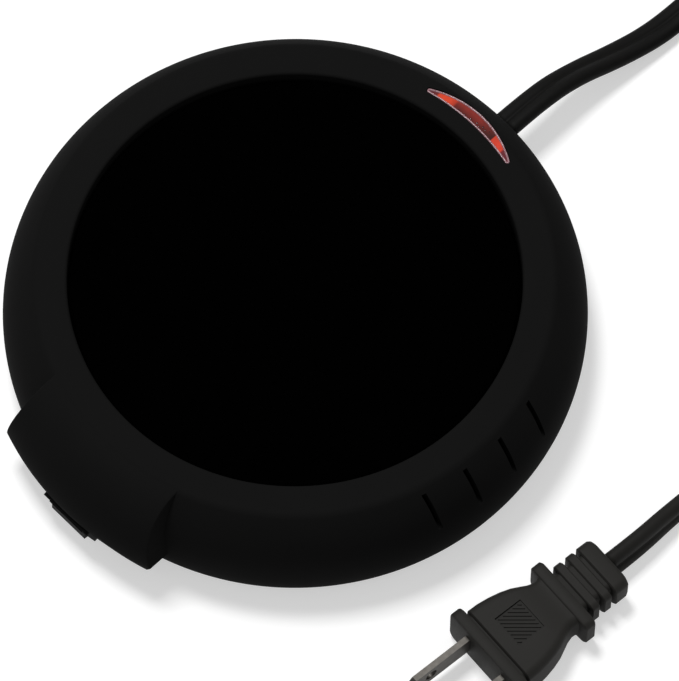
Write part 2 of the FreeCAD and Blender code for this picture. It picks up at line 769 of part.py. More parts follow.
def neon_lamp():
    half = LAMP_LENGTH / 2
    bulb = rod(LAMP_R, V(-half, LAMP_Y, LAMP_Z), V(half, LAMP_Y, LAMP_Z))
    ends = [e for e in bulb.Edges if isinstance(e.Curve, Part.Circle)]
    return bulb.makeFillet(LAMP_END_ROUND, ends)


def lamp_sleeve():
    half = LAMP_SLEEVE_LENGTH / 2
    ends = (V(LAMP_SHIFT - half, LAMP_Y, LAMP_Z), V(LAMP_SHIFT + half, LAMP_Y, LAMP_Z))
    inner = LAMP_R + SLIP
    return rod(inner + LAMP_SLEEVE_T, *ends).cut(rod(inner, *ends))


def bracket_top():
    return LAMP_Z - LAMP_R - SLIP - LAMP_SLEEVE_T - SLIP


def ring_segment(inner, outer, low, high, start, span):
    section = [(inner, low), (outer, low), (outer, high), (inner, high)]
    return spun(lathe(section, span), start)


def lamp_bracket():
    """A curved shelf under the lamp, hung from the ring by a post at each end."""
    top = bracket_top()
    start = 90 - BRACKET_SPAN / 2
    shelf = ring_segment(BRACKET_IN_R, BRACKET_OUT_R, top - BRACKET_T, top, start, BRACKET_SPAN)
    posts = []
    for begin in (start, start + BRACKET_SPAN - BRACKET_POST):
        posts.append(
            ring_segment(BRACKET_IN_R, BRACKET_OUT_R, top - EPS, RING_UNDER_Z, begin, BRACKET_POST)
        )
    holes = [cylinder(LEAD_HOLE_R, 0, CROWN_Z, x, LAMP_Y) for x in (-LEAD_X, LEAD_X)]
    return fused([shelf] + posts).cut(Part.makeCompound(holes))


def lamp_resistor():
    return cylinder(RESISTOR_R, RESISTOR_Z, RESISTOR_Z + RESISTOR_LENGTH, -LEAD_X, LAMP_Y)


# Rocker switch


def switch_housing():
    wide = BEZEL_WIDTH / 2
    tall = BEZEL_HEIGHT / 2
    top = BEZEL_T - BEZEL_SUNK
    bezel = block(-wide, wide, -tall, tall, -BEZEL_SUNK, top)
    upright = [e for e in bezel.Edges if abs(e.tangentAt(e.FirstParameter).z) > 1 - EPS]
    bezel = bezel.makeFillet(BEZEL_ROUND, upright)
    wide = SHELL_WIDTH / 2
    tall = SHELL_HEIGHT / 2
    shell = block(-wide, wide, -tall, tall, -SHELL_DEPTH, 0)
    body = fused([bezel, shell])
    wide -= SHELL_WALL
    tall -= SHELL_WALL
    cuts = [block(-wide, wide, -tall, tall, SHELL_FLOOR - SHELL_DEPTH, top + 1)]
    cuts.append(rod(PIN_R + PIN_FIT, V(-SHELL_WIDTH / 2, 0, -PIVOT_DEPTH), V(SHELL_WIDTH / 2, 0, -PIVOT_DEPTH)))
    for y in (0.0, CONTACT_Y):
        cuts.append(terminal_blade(y, -SHELL_DEPTH - 1, 0, SLIP))
    return in_pod(body.cut(Part.makeCompound(cuts)))


def about_pivot(shape, degrees, depth):
    copy = shape.copy()
    copy.rotate(V(0, 0, -depth), V(1, 0, 0), degrees)
    return copy


def rocker_half_width():
    return SHELL_WIDTH / 2 - SHELL_WALL - ROCKER_GAP


def switch_rocker():
    """The rocker lies inside a cylinder about its pivot, with a shallow valley across its top."""
    wide = rocker_half_width()
    end_r = SHELL_HEIGHT / 2 - SHELL_WALL - ROCKER_GAP
    pivot = V(0, 0, -PIVOT_DEPTH)
    tall = ROCKER_RISE + end_r * math.tan(math.radians(ROCKER_TILT))
    outline = [
        V(-wide, -end_r, -ROCKER_SKIRT),
        V(-wide, end_r, -ROCKER_SKIRT),
        V(-wide, end_r, tall),
        V(-wide, 0, ROCKER_RISE),
        V(-wide, -end_r, tall),
    ]
    prism = Part.Face(Part.makePolygon(outline + outline[:1])).extrude(V(2 * wide, 0, 0))
    body = prism.common(rod(end_r, V(-wide, 0, 0), V(wide, 0, 0)))
    pins = rod(PIN_R, V(-wide - ROCKER_GAP - PIN_REACH, 0, 0), V(wide + ROCKER_GAP + PIN_REACH, 0, 0))
    nose = cylinder(PLUNGER_R + BORE_FIT + SPRING_WALL, -PLUNGER_TIP + PLUNGER_R, 0)
    body = fused([body, pins, nose])
    bore = cylinder(PLUNGER_R + BORE_FIT, -PLUNGER_TIP, PLUNGER_BORE - PLUNGER_LENGTH + PLUNGER_R)
    body = body.cut(bore)
    body.translate(pivot)
    return in_pod(about_pivot(body, -ROCKER_TILT, PIVOT_DEPTH))


def switch_plunger():
    tip = Part.makeSphere(PLUNGER_R, V(0, 0, -PLUNGER_TIP))
    shank = cylinder(PLUNGER_R, -PLUNGER_TIP, PLUNGER_LENGTH - PLUNGER_TIP - PLUNGER_R)
    body = fused([tip, shank])
    body.translate(V(0, 0, -PIVOT_DEPTH))
    return in_pod(about_pivot(body, -ROCKER_TILT, PIVOT_DEPTH))


def switch_spring():
    low = PLUNGER_LENGTH - PLUNGER_TIP - PLUNGER_R
    high = PLUNGER_BORE - PLUNGER_LENGTH + PLUNGER_R
    body = tube(PLUNGER_R, PLUNGER_R - SPRING_WALL, low, high)
    body.translate(V(0, 0, -PIVOT_DEPTH))
    return in_pod(about_pivot(body, -ROCKER_TILT, PIVOT_DEPTH))


def switch_contact_lever():
    half = LEVER_WIDTH / 2
    strip = block(-half, half, -LEVER_HALF, LEVER_HALF, -LEVER_PIVOT, LEVER_T - LEVER_PIVOT)
    return in_pod(about_pivot(strip, LEVER_TILT, LEVER_PIVOT))


def terminal_blade(y, low, high, grow):
    half = TERMINAL_WIDTH / 2 + grow
    side = TERMINAL_T / 2 + grow
    return block(-half, half, y - side, y + side, low, high)


def switch_terminal(y, high):
    blade = terminal_blade(y, -SHELL_DEPTH - TERMINAL_OUT, high, 0.0)
    hole = rod(LEAD_R, V(0, -LEVER_HALF * 2, 0), V(0, LEVER_HALF * 2, 0))
    hole.translate(V(0, 0, TERMINAL_HOLE_IN - SHELL_DEPTH - TERMINAL_OUT))
    return in_pod(blade.cut(hole))


# Cord


def arc_path(points, share=0.45, bend=None):
    """Straight runs joined by tangent arcs, each as large as its two runs allow, or of one bend radius."""
    edges = []
    radii = []
    start = points[0]
    for before, at, after in zip(points, points[1:], points[2:]):
        back = before - at
        on = after - at
        half_turn = (math.pi - back.getAngle(on)) / 2
        cut = share * min(back.Length, on.Length)
        if bend:
            cut = min(cut, bend * math.tan(half_turn))
        radius = cut / math.tan(half_turn)
        back.normalize()
        on.normalize()
        inward = back + on
        inward.normalize()
        first = at + back * cut
        last = at + on * cut
        edges.append(Part.makeLine(start, first))
        edges.append(Part.Arc(first, at + inward * radius * (1 / math.cos(half_turn) - 1), last).toShape())
        radii.append(radius)
        start = last
    edges.append(Part.makeLine(start, points[-1]))
    return Part.Wire(edges), radii


def wire(points, radius):
    """A round wire along a route, with its own bends."""
    route = [V(*point) for point in points]
    path, _ = arc_path(route, bend=WIRE_BEND)
    section = Part.Wire(Part.makeCircle(radius, route[0], route[1] - route[0]))
    return path.makePipeShell([section], True, False)


def cord_section(at, heading, turn=90.0):
    """The flat cord's outline, square to its way and turned that many degrees from lying flat."""
    side = CORD_THICK / 2
    reach = CORD_WIDTH / 2 - side
    across = V(heading).cross(UP)
    across.normalize()
    angle = math.radians(turn)
    long_way = across * math.cos(angle) + UP * math.sin(angle)
    short_way = UP * math.cos(angle) - across * math.sin(angle)
    far = at + long_way * reach
    near = at - long_way * reach
    outline = [
        Part.makeLine(near + short_way * side, far + short_way * side),
        Part.Arc(far + short_way * side, far + long_way * side, far - short_way * side).toShape(),
        Part.makeLine(far - short_way * side, near - short_way * side),
        Part.Arc(near - short_way * side, near - long_way * side, near + short_way * side).toShape(),
    ]
    return Part.Wire(outline)


def section_area():
    return math.pi * (CORD_THICK / 2) ** 2 + CORD_THICK * (CORD_WIDTH - CORD_THICK)


def flat_cord(path, start, heading, turn=90.0):
    """Sweeps the flat section along a path, turned alike all the way."""
    maker = Part.BRepOffsetAPI.MakePipeShell(path)
    maker.setBiNormalMode(UP)
    maker.add(cord_section(start, heading, turn))
    maker.build()
    maker.makeSolid()
    return maker.shape()


def free_cord(name, points, turn):
    """One free stretch; prints its bend radii, and its volume against section times length."""
    route = [V(*point) for point in points]
    path, radii = arc_path(route)
    cord = flat_cord(path, route[0], route[1] - route[0], turn)
    share = cord.Volume / (section_area() * path.Length)
    print(name, "radii", [round(r) for r in radii], "length", round(path.Length, 1), "volume share", round(share, 3))
    return cord


def twist_height(turn):
    """Height of the cord's middle when it rests on the table, turned that far from lying flat."""
    return CORD_THICK / 2 + (CORD_WIDTH - CORD_THICK) / 2 * math.sin(math.radians(turn))


def power_cord_turn():
    """A straight stretch along Y up to the coil, over which the cord turns from flat to upright."""
    end = coil_start()
    sections = []
    for i in range(TWIST_STEPS + 1):
        share = i / TWIST_STEPS
        turn = 90 * share
        at = V(end.x, end.y - TWIST_LENGTH * (1 - share), twist_height(turn))
        sections.append(cord_section(at, V(0, 1, 0), turn))
    return Part.makeLoft(sections, True, False)


def plug_point(x, y=0.0, z=0.0):
    """A point of the plug's own frame, in the object's frame."""
    return plug_place().multVec(V(x, y, z))


def plug_place():
    return FreeCAD.Placement(V(PLUG_X, PLUG_Y, PLUG_AXIS_Z), FreeCAD.Rotation(UP, PLUG_HEADING))


def coil_start():
    return V(COIL_X - COIL_MEAN_R - coil_pitch() / 2, COIL_Y - CORD_WIDTH, CORD_WIDTH / 2)


def coil_end():
    rise = CORD_WIDTH + COIL_LAYER_GAP
    return V(COIL_X + COIL_MEAN_R + coil_pitch() / 2, COIL_Y - CORD_WIDTH, CORD_WIDTH / 2 + rise)


def coil_pitch():
    return CORD_THICK + COIL_SIDE_GAP


# The free stretches, as the photograph shows them lying
OUTLET_ROUTE = [
    (0.0, CORD_OUT_Y, CORD_EXIT_Z),
    (0.0, 82.5, CORD_EXIT_Z),
    (0.6, 94.5, 9.6),
    (2.6, 106.5, 5.4),
    (4.3, 118.5, 2.6),
]
PLUG_END_ROUTE = [
    (95.7, 142.5, 11.3),
    (97.0, 126.0, 8.0),
    (99.6, 107.0, 4.5),
    (101.2, 84.0, 3.7),
    (100.2, 64.0, 3.7),
    (98.9, 45.0, 3.9),
    (98.3, 29.0, 4.8),
]


def cord_inner():
    section = cord_section(V(0, CORD_IN_Y, CORD_EXIT_Z), V(0, 1, 0), 0.0)
    return Part.Face(section).extrude(V(0, CORD_OUT_Y - CORD_IN_Y, 0))


def power_cord_outlet():
    end = coil_start()
    flat_end = (end.x, end.y - TWIST_LENGTH, twist_height(0.0))
    return free_cord("power_cord_outlet", OUTLET_ROUTE + [flat_end], 0.0)


def power_cord_plug_end():
    last = plug_point(PLUG_LENGTH)
    before = plug_point(PLUG_LENGTH + PLUG_LEAD)
    return free_cord("power_cord_plug_end", [tuple(coil_end())] + PLUG_END_ROUTE + [tuple(before), tuple(last)], 90.0)


def half_turn(start, end, side):
    """A half circle from start to end that leaves and arrives along Y; side is +1 over the far half."""
    middle = (start + end) * 0.5
    radius = (end - start).Length / 2
    return Part.Arc(start, middle + V(0, side * radius, 0), end).toShape()


def coil_path():
    """Half turns that spiral in on the lower layer, climb in one half turn, and spiral out above it."""
    outer = COIL_MEAN_R + coil_pitch() / 2
    low = CORD_WIDTH / 2
    high = low + CORD_WIDTH + COIL_LAYER_GAP
    sizes = [outer - i * coil_pitch() / 2 for i in range(COIL_HALF_TURNS + 1)]
    sizes += sizes[-2::-1]
    at = V(COIL_X - outer, COIL_Y, low)
    edges = [Part.makeLine(coil_start(), at)]
    for i, size in enumerate(sizes):
        side = 1 if i % 2 == 0 else -1
        z = low if i < COIL_HALF_TURNS else high
        on = V(at.x + side * 2 * size, COIL_Y, z)
        edges.append(half_turn(at, on, side))
        at = on
    edges.append(Part.makeLine(at, at - V(0, CORD_WIDTH, 0)))
    return Part.Wire(edges)


def cord_coil():
    path = coil_path()
    coil = flat_cord(path, coil_start(), V(0, 1, 0))
    share = coil.Volume / (section_area() * path.Length)
    print("cord_coil length", round(path.Length, 1), "volume share", round(share, 3))
    print("cord_coil least gap to itself", round(least_self_gap(path), 2))
    return coil


def least_self_gap(path):
    """Least space between stretches of the coil over half a turn apart, measured on points of its path."""
    points = path.discretize(Distance=SELF_GAP_STEP)
    skip = int(math.pi * COIL_MEAN_R / 2 / SELF_GAP_STEP)
    least = CORD_WIDTH * 2
    for i, one in enumerate(points):
        for two in points[i + skip :]:
            flat = math.hypot(one.x - two.x, one.y - two.y)
            tall = abs(one.z - two.z)
            apart = max(flat - CORD_THICK, tall - CORD_WIDTH)
            least = min(least, apart)
    return least


# Cord clamp


def clamp_top_z():
    return CORD_EXIT_Z + CORD_THICK / 2


def cord_clamp():
    reach = CLAMP_POST_X + CLAMP_POST_R
    half = CLAMP_BAR_DEPTH / 2
    low = clamp_top_z()
    bar = block(-reach, reach, CLAMP_Y - half, CLAMP_Y + half, low, low + CLAMP_BAR_T)
    upright = [e for e in bar.Edges if abs(e.tangentAt(e.FirstParameter).z) > 1 - EPS]
    bar = bar.makeFillet(CLAMP_BAR_ROUND, upright)
    holes = [cylinder(CLAMP_SCREW_R + SCREW_FIT, 0, CROWN_Z, x, CLAMP_Y) for x in (-CLAMP_POST_X, CLAMP_POST_X)]
    return bar.cut(Part.makeCompound(holes))


def clamp_screws():
    made = []
    seat = clamp_top_z() + CLAMP_BAR_T
    for x in (-CLAMP_POST_X, CLAMP_POST_X):
        head = cylinder(CLAMP_HEAD_R, seat, seat + CLAMP_HEAD_H, x, CLAMP_Y)
        shank = cylinder(CLAMP_SCREW_R, seat - CLAMP_SCREW_LENGTH, seat, x, CLAMP_Y)
        top = seat + CLAMP_HEAD_H
        half = DRIVE_WIDTH / 2
        reach = CLAMP_HEAD_R * DRIVE_SHARE
        slot = block(x - reach, x + reach, CLAMP_Y - half, CLAMP_Y + half, top - DRIVE_DEPTH, top)
        made.append(head.fuse(shank).cut(slot))
    return Part.makeCompound(made)


# Inner wires


def crimp(x, y, z):
    """A closed-end connector, its mouth facing the wires at y and its body running on along +Y or -Y."""
    length = CRIMP_LENGTH if y < 0 else -CRIMP_LENGTH
    cap = rod(CRIMP_R, V(x, y, z), V(x, y + length, z))
    far = [e for e in cap.Edges if isinstance(e.Curve, Part.Circle) and abs(e.Curve.Center.y - y) > EPS]
    return cap.makeFillet(CRIMP_ROUND, far)


def crimp_connectors():
    return Part.makeCompound([crimp(*NEUTRAL_CRIMP), crimp(*SWITCHED_CRIMP)])


def terminal_end(y, back):
    """A point behind a terminal's tip, along the way a wire reaches it."""
    return tuple(switch_place().multVec(V(0, y, -SHELL_DEPTH - TERMINAL_OUT - back)))


def ribbon_end_z():
    return STACK["heater_ribbon"] - RIBBON_T


def wire_live():
    core = -CORD_WIDTH / 4
    z = CORD_EXIT_Z
    route = [(core, CORD_IN_Y, z), (core, CORD_IN_Y - 8, z), (-13, 33, 8.5), (-16, 0, 8)]
    route += [(-12, -35, 8.5), (-3, -46, 13.6)]
    return wire(route + [terminal_end(0.0, 7.0), terminal_end(0.0, 0.0)], WIRE_R)


def wire_neutral():
    core = CORD_WIDTH / 4
    z = CORD_EXIT_Z
    x, y, crimp_z = NEUTRAL_CRIMP
    x -= WIRE_R + SLIP
    route = [(core, CORD_IN_Y, z), (core, CORD_IN_Y - 8, z), (12, 34, crimp_z + 1), (x, y + 9, crimp_z)]
    route.append((x, y, crimp_z))
    return wire(route, WIRE_R)


def wire_switched():
    x, y, z = SWITCHED_CRIMP
    x -= WIRE_R + SLIP
    route = [terminal_end(CONTACT_Y, 0.0), terminal_end(CONTACT_Y, 7.0), (12, -42, 12), (x - 2, y - 14, z + 0.5)]
    return wire(route + [(x, y - 7, z), (x, y, z)], WIRE_R)


def wire_fuse():
    x, y, z = SWITCHED_CRIMP
    x += WIRE_R + SLIP
    reach = SLEEVE_LENGTH / 2
    route = [(x, y, z), (x, y - 6, z), (x + 1, y - 10, z + 5), (reach + 7, FUSE_Y, fuse_z()), (reach, FUSE_Y, fuse_z())]
    return wire(route, WIRE_R)


def ribbon_end():
    x = ribbon_tail_x()
    y = -math.sqrt((STACK_R + RIBBON_TAIL) ** 2 - x**2) + RIBBON_WIDTH / 2
    return x, y


def wire_heater():
    x, y = ribbon_end()
    reach = SLEEVE_LENGTH / 2
    low = fuse_z() - 3.5
    route = [(-reach, FUSE_Y, fuse_z()), (-reach - 7, FUSE_Y, fuse_z()), (-28, FUSE_Y - 5, low), (-x, y, low + 1)]
    return wire(route + [(-x, y, ribbon_end_z())], WIRE_R)


def wire_return():
    x, y, z = NEUTRAL_CRIMP
    x += WIRE_R + SLIP
    end_x, end_y = ribbon_end()
    route = [(x, y, z), (x, y + 6, z), (30, y + 8, z), (38, 3, z + 1), (41, end_y + 9, z + 5)]
    return wire(route + [(end_x, end_y, z + 10), (end_x, end_y, ribbon_end_z())], WIRE_R)


def lamp_leads():
    """One lead from each end of the lamp, down through the bracket; the left one holds the resistor."""
    half = LAMP_LENGTH / 2
    x, y, z = NEUTRAL_CRIMP
    far_x, far_y, far_z = SWITCHED_CRIMP
    top = [(-half, LAMP_Y, LAMP_Z), (-LEAD_X, LAMP_Y, LAMP_Z), (-LEAD_X, LAMP_Y, RESISTOR_Z + RESISTOR_LENGTH)]
    low = [(-LEAD_X, LAMP_Y, RESISTOR_Z), (-LEAD_X, LAMP_Y, 8), (0, 38, 6), (x, y + 8, z + 2), (x, y, z + 1.7)]
    right = [(half, LAMP_Y, LAMP_Z), (LEAD_X, LAMP_Y, LAMP_Z), (LEAD_X, LAMP_Y, 7.5), (28, 42, 6), (44, 12, 6)]
    right += [(34, far_y - 10, 6), (far_x, far_y - 7, far_z - 1.7), (far_x, far_y, far_z - 1.7)]
    return Part.makeCompound([wire(route, LEAD_R) for route in (top, low, right)])


# Plug


def rounded_section(x, half_y, half_z, radius):
    """A rounded rectangle square to the plug's axis."""
    radius = min(radius, half_y - EPS, half_z - EPS)
    y = half_y - radius
    z = half_z - radius
    bend = radius * math.sqrt(0.5)
    corners = ((1, 1), (-1, 1), (-1, -1), (1, -1))
    points = []
    for sy, sz in corners:
        side = V(x, sy * half_y, sz * z)
        over = V(x, sy * y, sz * half_z)
        middle = V(x, sy * (y + bend), sz * (z + bend))
        points.append((side, middle, over) if sy == sz else (over, middle, side))
    edges = []
    for i, (first, middle, last) in enumerate(points):
        edges.append(Part.Arc(first, middle, last).toShape())
        edges.append(Part.makeLine(last, points[(i + 1) % 4][0]))
    return Part.Wire(edges)


def rounded_slab(x0, x1, half_y, height, radius):
    section = rounded_section(x0, half_y, height / 2, radius)
    return Part.Face(section).extrude(V(x1 - x0, 0, 0))


def plug_blade(side):
    half = BLADE_T / 2
    y = side * BLADE_SPACING / 2
    blade = block(-BLADE_OUT, BLADE_IN, y - half, y + half, -BLADE_HEIGHT / 2, BLADE_HEIGHT / 2)
    tip = [e for e in blade.Edges if e.BoundBox.XMax < EPS - BLADE_OUT and e.BoundBox.YLength > EPS]
    blade = blade.makeChamfer(BLADE_CHAMFER, tip)
    hole = rod(BLADE_HOLE_R, V(-BLADE_HOLE_X, y - BLADE_T, 0), V(-BLADE_HOLE_X, y + BLADE_T, 0))
    return blade.cut(hole)


def plug_body():
    flange = rounded_slab(0, PLUG_FLANGE_T, PLUG_FLANGE_HALF, PLUG_FLANGE_H, PLUG_CORNER)
    sections = []
    for along, narrowed in PLUG_TAPER:
        x = PLUG_FLANGE_T - EPS + along * (PLUG_WAIST_X - PLUG_FLANGE_T)
        half = PLUG_BODY_HALF + narrowed * (PLUG_WAIST_HALF - PLUG_BODY_HALF)
        height = PLUG_BODY_H + narrowed * (PLUG_WAIST_H - PLUG_BODY_H)
        sections.append(rounded_section(x, half, height / 2, PLUG_CORNER))
    grip = Part.makeLoft(sections, True, False)
    waist = rounded_slab(PLUG_WAIST_X - EPS, PLUG_EAR_X + EPS, PLUG_WAIST_HALF, PLUG_WAIST_H, PLUG_CORNER)
    ear = rounded_slab(PLUG_EAR_X, PLUG_EAR_X + PLUG_EAR_T, PLUG_EAR_HALF, PLUG_EAR_H, PLUG_CORNER)
    neck = rounded_slab(PLUG_EAR_X, PLUG_LENGTH, PLUG_NECK_HALF, PLUG_NECK_H, PLUG_CORNER)
    adds = [flange, grip, waist, ear, neck]
    for i in range(PLUG_RIB_COUNT):
        x = PLUG_EAR_X + PLUG_EAR_T + PLUG_RIB_GAP + i * PLUG_RIB_PITCH
        end = PLUG_LENGTH if i == PLUG_RIB_COUNT - 1 else x + PLUG_RIB_T
        adds.append(rounded_slab(x, end, PLUG_RIB_HALF, PLUG_RIB_H, PLUG_CORNER))
    body = fused(adds)
    return body.cut(Part.makeCompound([plug_blade(-1), plug_blade(1)]))


def in_plug(shape):
    copy = shape.copy()
    copy.Placement = plug_place().multiply(copy.Placement)
    return copy


def make_parts():
    write("top_cover", top_cover())
    write("base_cover", base_cover())
    write("case_screws", case_screws())
    for number, angle in enumerate(FOOT_ANGLES, 1):
        write("rubber_foot_" + str(number), rubber_foot(angle))
    write("warming_plate", warming_plate())
    write("plate_gasket", plate_gasket())
    write("mica_upper", stack_disc("mica_upper", MICA_T, STACK_R))
    write("heater_ribbon", heater_ribbon())
    write("mica_lower", stack_disc("mica_lower", MICA_T, STACK_R))
    write("insulation_pad", stack_disc("insulation_pad", PAD_T, STACK_R))
    write("pressure_plate", pressure_plate())
    write("clamp_washer", stack_disc("clamp_washer", WASHER_T, WASHER_R))
    write("clamp_nut", clamp_nut())
    write("thermal_fuse", thermal_fuse())
    write("fuse_sleeve", fuse_sleeve())
    write("fuse_clip", fuse_clip())
    write("indicator_lens", indicator_lens())
    write("neon_lamp", neon_lamp())
    write("lamp_sleeve", lamp_sleeve())
    write("lamp_bracket", lamp_bracket())
    write("lamp_resistor", lamp_resistor())
    write("switch_housing", switch_housing())
    write("switch_rocker", switch_rocker())
    write("switch_plunger", switch_plunger())
    write("switch_spring", switch_spring())
    write("switch_contact_lever", switch_contact_lever())
    write("switch_terminal_1", switch_terminal(0.0, -LEVER_PIVOT - TERMINAL_GAP))
    write("switch_terminal_2", switch_terminal(CONTACT_Y, -LEVER_PIVOT - CONTACT_CLEAR))
    write("cord_clamp", cord_clamp())
    write("clamp_screws", clamp_screws())
    write("crimp_connectors", crimp_connectors())
    write("wire_live", wire_live())
    write("wire_neutral", wire_neutral())
    write("wire_switched", wire_switched())
    write("wire_fuse", wire_fuse())
    write("wire_heater", wire_heater())
    write("wire_return", wire_return())
    write("lamp_leads", lamp_leads())
    write("cord_inner", cord_inner())
    write("power_cord_outlet", power_cord_outlet())
    write("power_cord_turn", power_cord_turn())
    write("cord_coil", cord_coil())
    write("power_cord_plug_end", power_cord_plug_end())
    write("plug_body", in_plug(plug_body()))
    write("plug_blade_1", in_plug(plug_blade(-1)))
    write("plug_blade_2", in_plug(plug_blade(1)))


os.makedirs("parts", exist_ok=True)
make_parts()
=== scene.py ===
import math

import bmesh
import bpy
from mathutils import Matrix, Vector


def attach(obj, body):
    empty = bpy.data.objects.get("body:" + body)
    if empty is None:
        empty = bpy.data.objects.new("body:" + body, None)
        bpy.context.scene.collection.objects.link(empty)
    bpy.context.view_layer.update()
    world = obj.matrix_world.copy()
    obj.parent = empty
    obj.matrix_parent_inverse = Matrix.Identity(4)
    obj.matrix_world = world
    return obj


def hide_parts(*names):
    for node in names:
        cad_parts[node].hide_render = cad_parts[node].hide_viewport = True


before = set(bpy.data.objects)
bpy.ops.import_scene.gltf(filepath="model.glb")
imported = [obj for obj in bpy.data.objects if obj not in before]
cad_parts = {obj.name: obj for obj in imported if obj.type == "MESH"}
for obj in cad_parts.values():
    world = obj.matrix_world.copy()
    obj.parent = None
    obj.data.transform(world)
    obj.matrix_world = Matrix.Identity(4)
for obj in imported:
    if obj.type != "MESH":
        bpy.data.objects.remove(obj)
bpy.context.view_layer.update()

# The camera looks down on the warmer from its front right, as in a catalogue picture.
# Its place follows the housing: the middle of the body sits left of and above the picture's middle.
PHOTO_WIDTH = 679
PHOTO_HEIGHT = 681
PIXELS_PER_MM = 4.17
VIEW_AZIMUTH = math.radians(45.9)
VIEW_ELEVATION = math.radians(64.9)
VIEW_DISTANCE = 1.6
SENSOR = 36.0
BODY_MIDDLE = Vector((0.0, 0.0, 0.015))
BODY_PIXEL_X = 295.3
BODY_PIXEL_Y = 305.4


def bearing(azimuth, elevation):
    """The way from the warmer to a place at an angle round from its front to its right, and up."""
    return Vector((
        math.sin(azimuth) * math.cos(elevation),
        -math.cos(azimuth) * math.cos(elevation),
        math.sin(elevation),
    ))


right_way = Vector((math.cos(VIEW_AZIMUTH), math.sin(VIEW_AZIMUTH), 0.0))
back_way = bearing(VIEW_AZIMUTH, VIEW_ELEVATION)
up_way = back_way.cross(right_way)
aim = (
    BODY_MIDDLE
    + right_way * (PHOTO_WIDTH / 2 - BODY_PIXEL_X) / PIXELS_PER_MM / 1000
    - up_way * (PHOTO_HEIGHT / 2 - BODY_PIXEL_Y) / PIXELS_PER_MM / 1000
)
camera_data = bpy.data.cameras.new("camera")
camera_data.sensor_width = SENSOR
camera_data.lens = PIXELS_PER_MM * 1000 * VIEW_DISTANCE * SENSOR / PHOTO_HEIGHT
camera_data.clip_start = 0.01
camera = bpy.data.objects.new("camera", camera_data)
bpy.context.collection.objects.link(camera)
camera.location = aim + back_way * VIEW_DISTANCE
camera.rotation_mode = "QUATERNION"
camera.rotation_quaternion = (-back_way).to_track_quat("-Z", "Y")
bpy.context.scene.camera = camera


# The cord is one length of flat two-core lead in soft black vinyl, clamped inside the housing.
# It leaves the rear wall nearly flat, turns on its edge for a put-away coil outside the picture,
# and comes back to the plug nearly on its edge.
CORD_WIDTH = 0.0073
CORD_THICK = 0.0037
CORD_EXIT = (0.0, 0.0705, 0.013)
OUTLET_POINTS = [
    CORD_EXIT,
    (0.0, 0.0825, 0.013),
    (0.0006, 0.0945, 0.0096),
    (0.0026, 0.1065, 0.0056),
    (0.0043, 0.1185, 0.0031),
    (0.00465, 0.1297, 0.0028),
    (0.00465, 0.1430, 0.00365),
    (0.00465, 0.1567, 0.00365),
]
PLUG_END_POINTS = [
    (0.09575, 0.1567, 0.01185),
    (0.0957, 0.1425, 0.0113),
    (0.0970, 0.1260, 0.0080),
    (0.0996, 0.1070, 0.0045),
    (0.1012, 0.0840, 0.0037),
    (0.1002, 0.0640, 0.0037),
    (0.0989, 0.0450, 0.0039),
    (0.0983, 0.0290, 0.0048),
    (0.0988, 0.0177, 0.0066),
    (0.0981, 0.0087, 0.0066),
]
COIL_X = 0.0502
COIL_Y = 0.164
COIL_MEAN_R = 0.043
COIL_GAP = 0.0014
COIL_LAYER_GAP = 0.0009
COIL_PITCH = CORD_THICK + COIL_GAP
COIL_RISE = CORD_WIDTH + COIL_LAYER_GAP
COIL_POINTS = 9  # to each half turn


def coil_points():
    """Half turns that wind in on the lower layer, climb in one half turn, and wind out above it."""
    outer = COIL_MEAN_R + COIL_PITCH / 2
    sizes = [outer, outer - COIL_PITCH / 2, outer - COIL_PITCH, outer - COIL_PITCH / 2, outer]
    heights = [0.0, 0.0, 0.0, COIL_RISE, COIL_RISE, COIL_RISE]
    swell = 1 / math.cos(math.pi / 2 / COIL_POINTS)  # a smooth line runs inside its control points
    x = COIL_X - outer
    points = []
    for i, size in enumerate(sizes):
        side = 1 if i % 2 == 0 else -1
        middle = x + side * size
        for k in range(COIL_POINTS):
            share = (k + 0.5) / COIL_POINTS
            angle = math.pi * share
            z = CORD_WIDTH / 2 + heights[i] + (heights[i + 1] - heights[i]) * (1 - math.cos(angle)) / 2
            across = -side * size * swell * math.cos(angle)
            points.append((middle + across, COIL_Y + side * size * swell * math.sin(angle), z))
        x += side * 2 * size
    return points


def smooth_line(name, points):
    """The points of the smooth NURBS line that has these control points."""
    curve = bpy.data.curves.new(name, "CURVE")
    curve.dimensions = "3D"
    curve.resolution_u = 12
    spline = curve.splines.new("NURBS")
    spline.points.add(len(points) - 1)
    for point, place in zip(spline.points, points):
        point.co = (*place, 1.0)
    spline.order_u = 3
    spline.use_endpoint_u = True
    holder = bpy.data.objects.new(name, curve)
    bpy.context.collection.objects.link(holder)
    mesh = bpy.data.meshes.new_from_object(holder)
    line = [vertex.co.copy() for vertex in mesh.vertices]
    bpy.data.objects.remove(holder)
    bpy.data.curves.remove(curve)
    bpy.data.meshes.remove(mesh)
    return line


cord_line = smooth_line("cord_route", OUTLET_POINTS + coil_points() + PLUG_END_POINTS)
cord_reach = [0.0]
for before, after in zip(cord_line, cord_line[1:]):
    cord_reach.append(cord_reach[-1] + (after - before).length)
cord_length = cord_reach[-1]

# Degrees that the cord is turned about its own line, against the way along it in metres: at 0 it lies
# flat, and below 0 its right edge rises, for a walker who follows it from the housing.
CORD_TURNS = [
    (0.0, -6.0),
    (0.012, -10.0),
    (0.026, -18.0),
    (0.042, -13.0),
    (0.055, -7.0),
    (0.062, -7.0),
    (0.092, -90.0),
    (cord_length - 0.080, -90.0),
    (cord_length - 0.030, -82.0),
    (cord_length, -70.0),
]


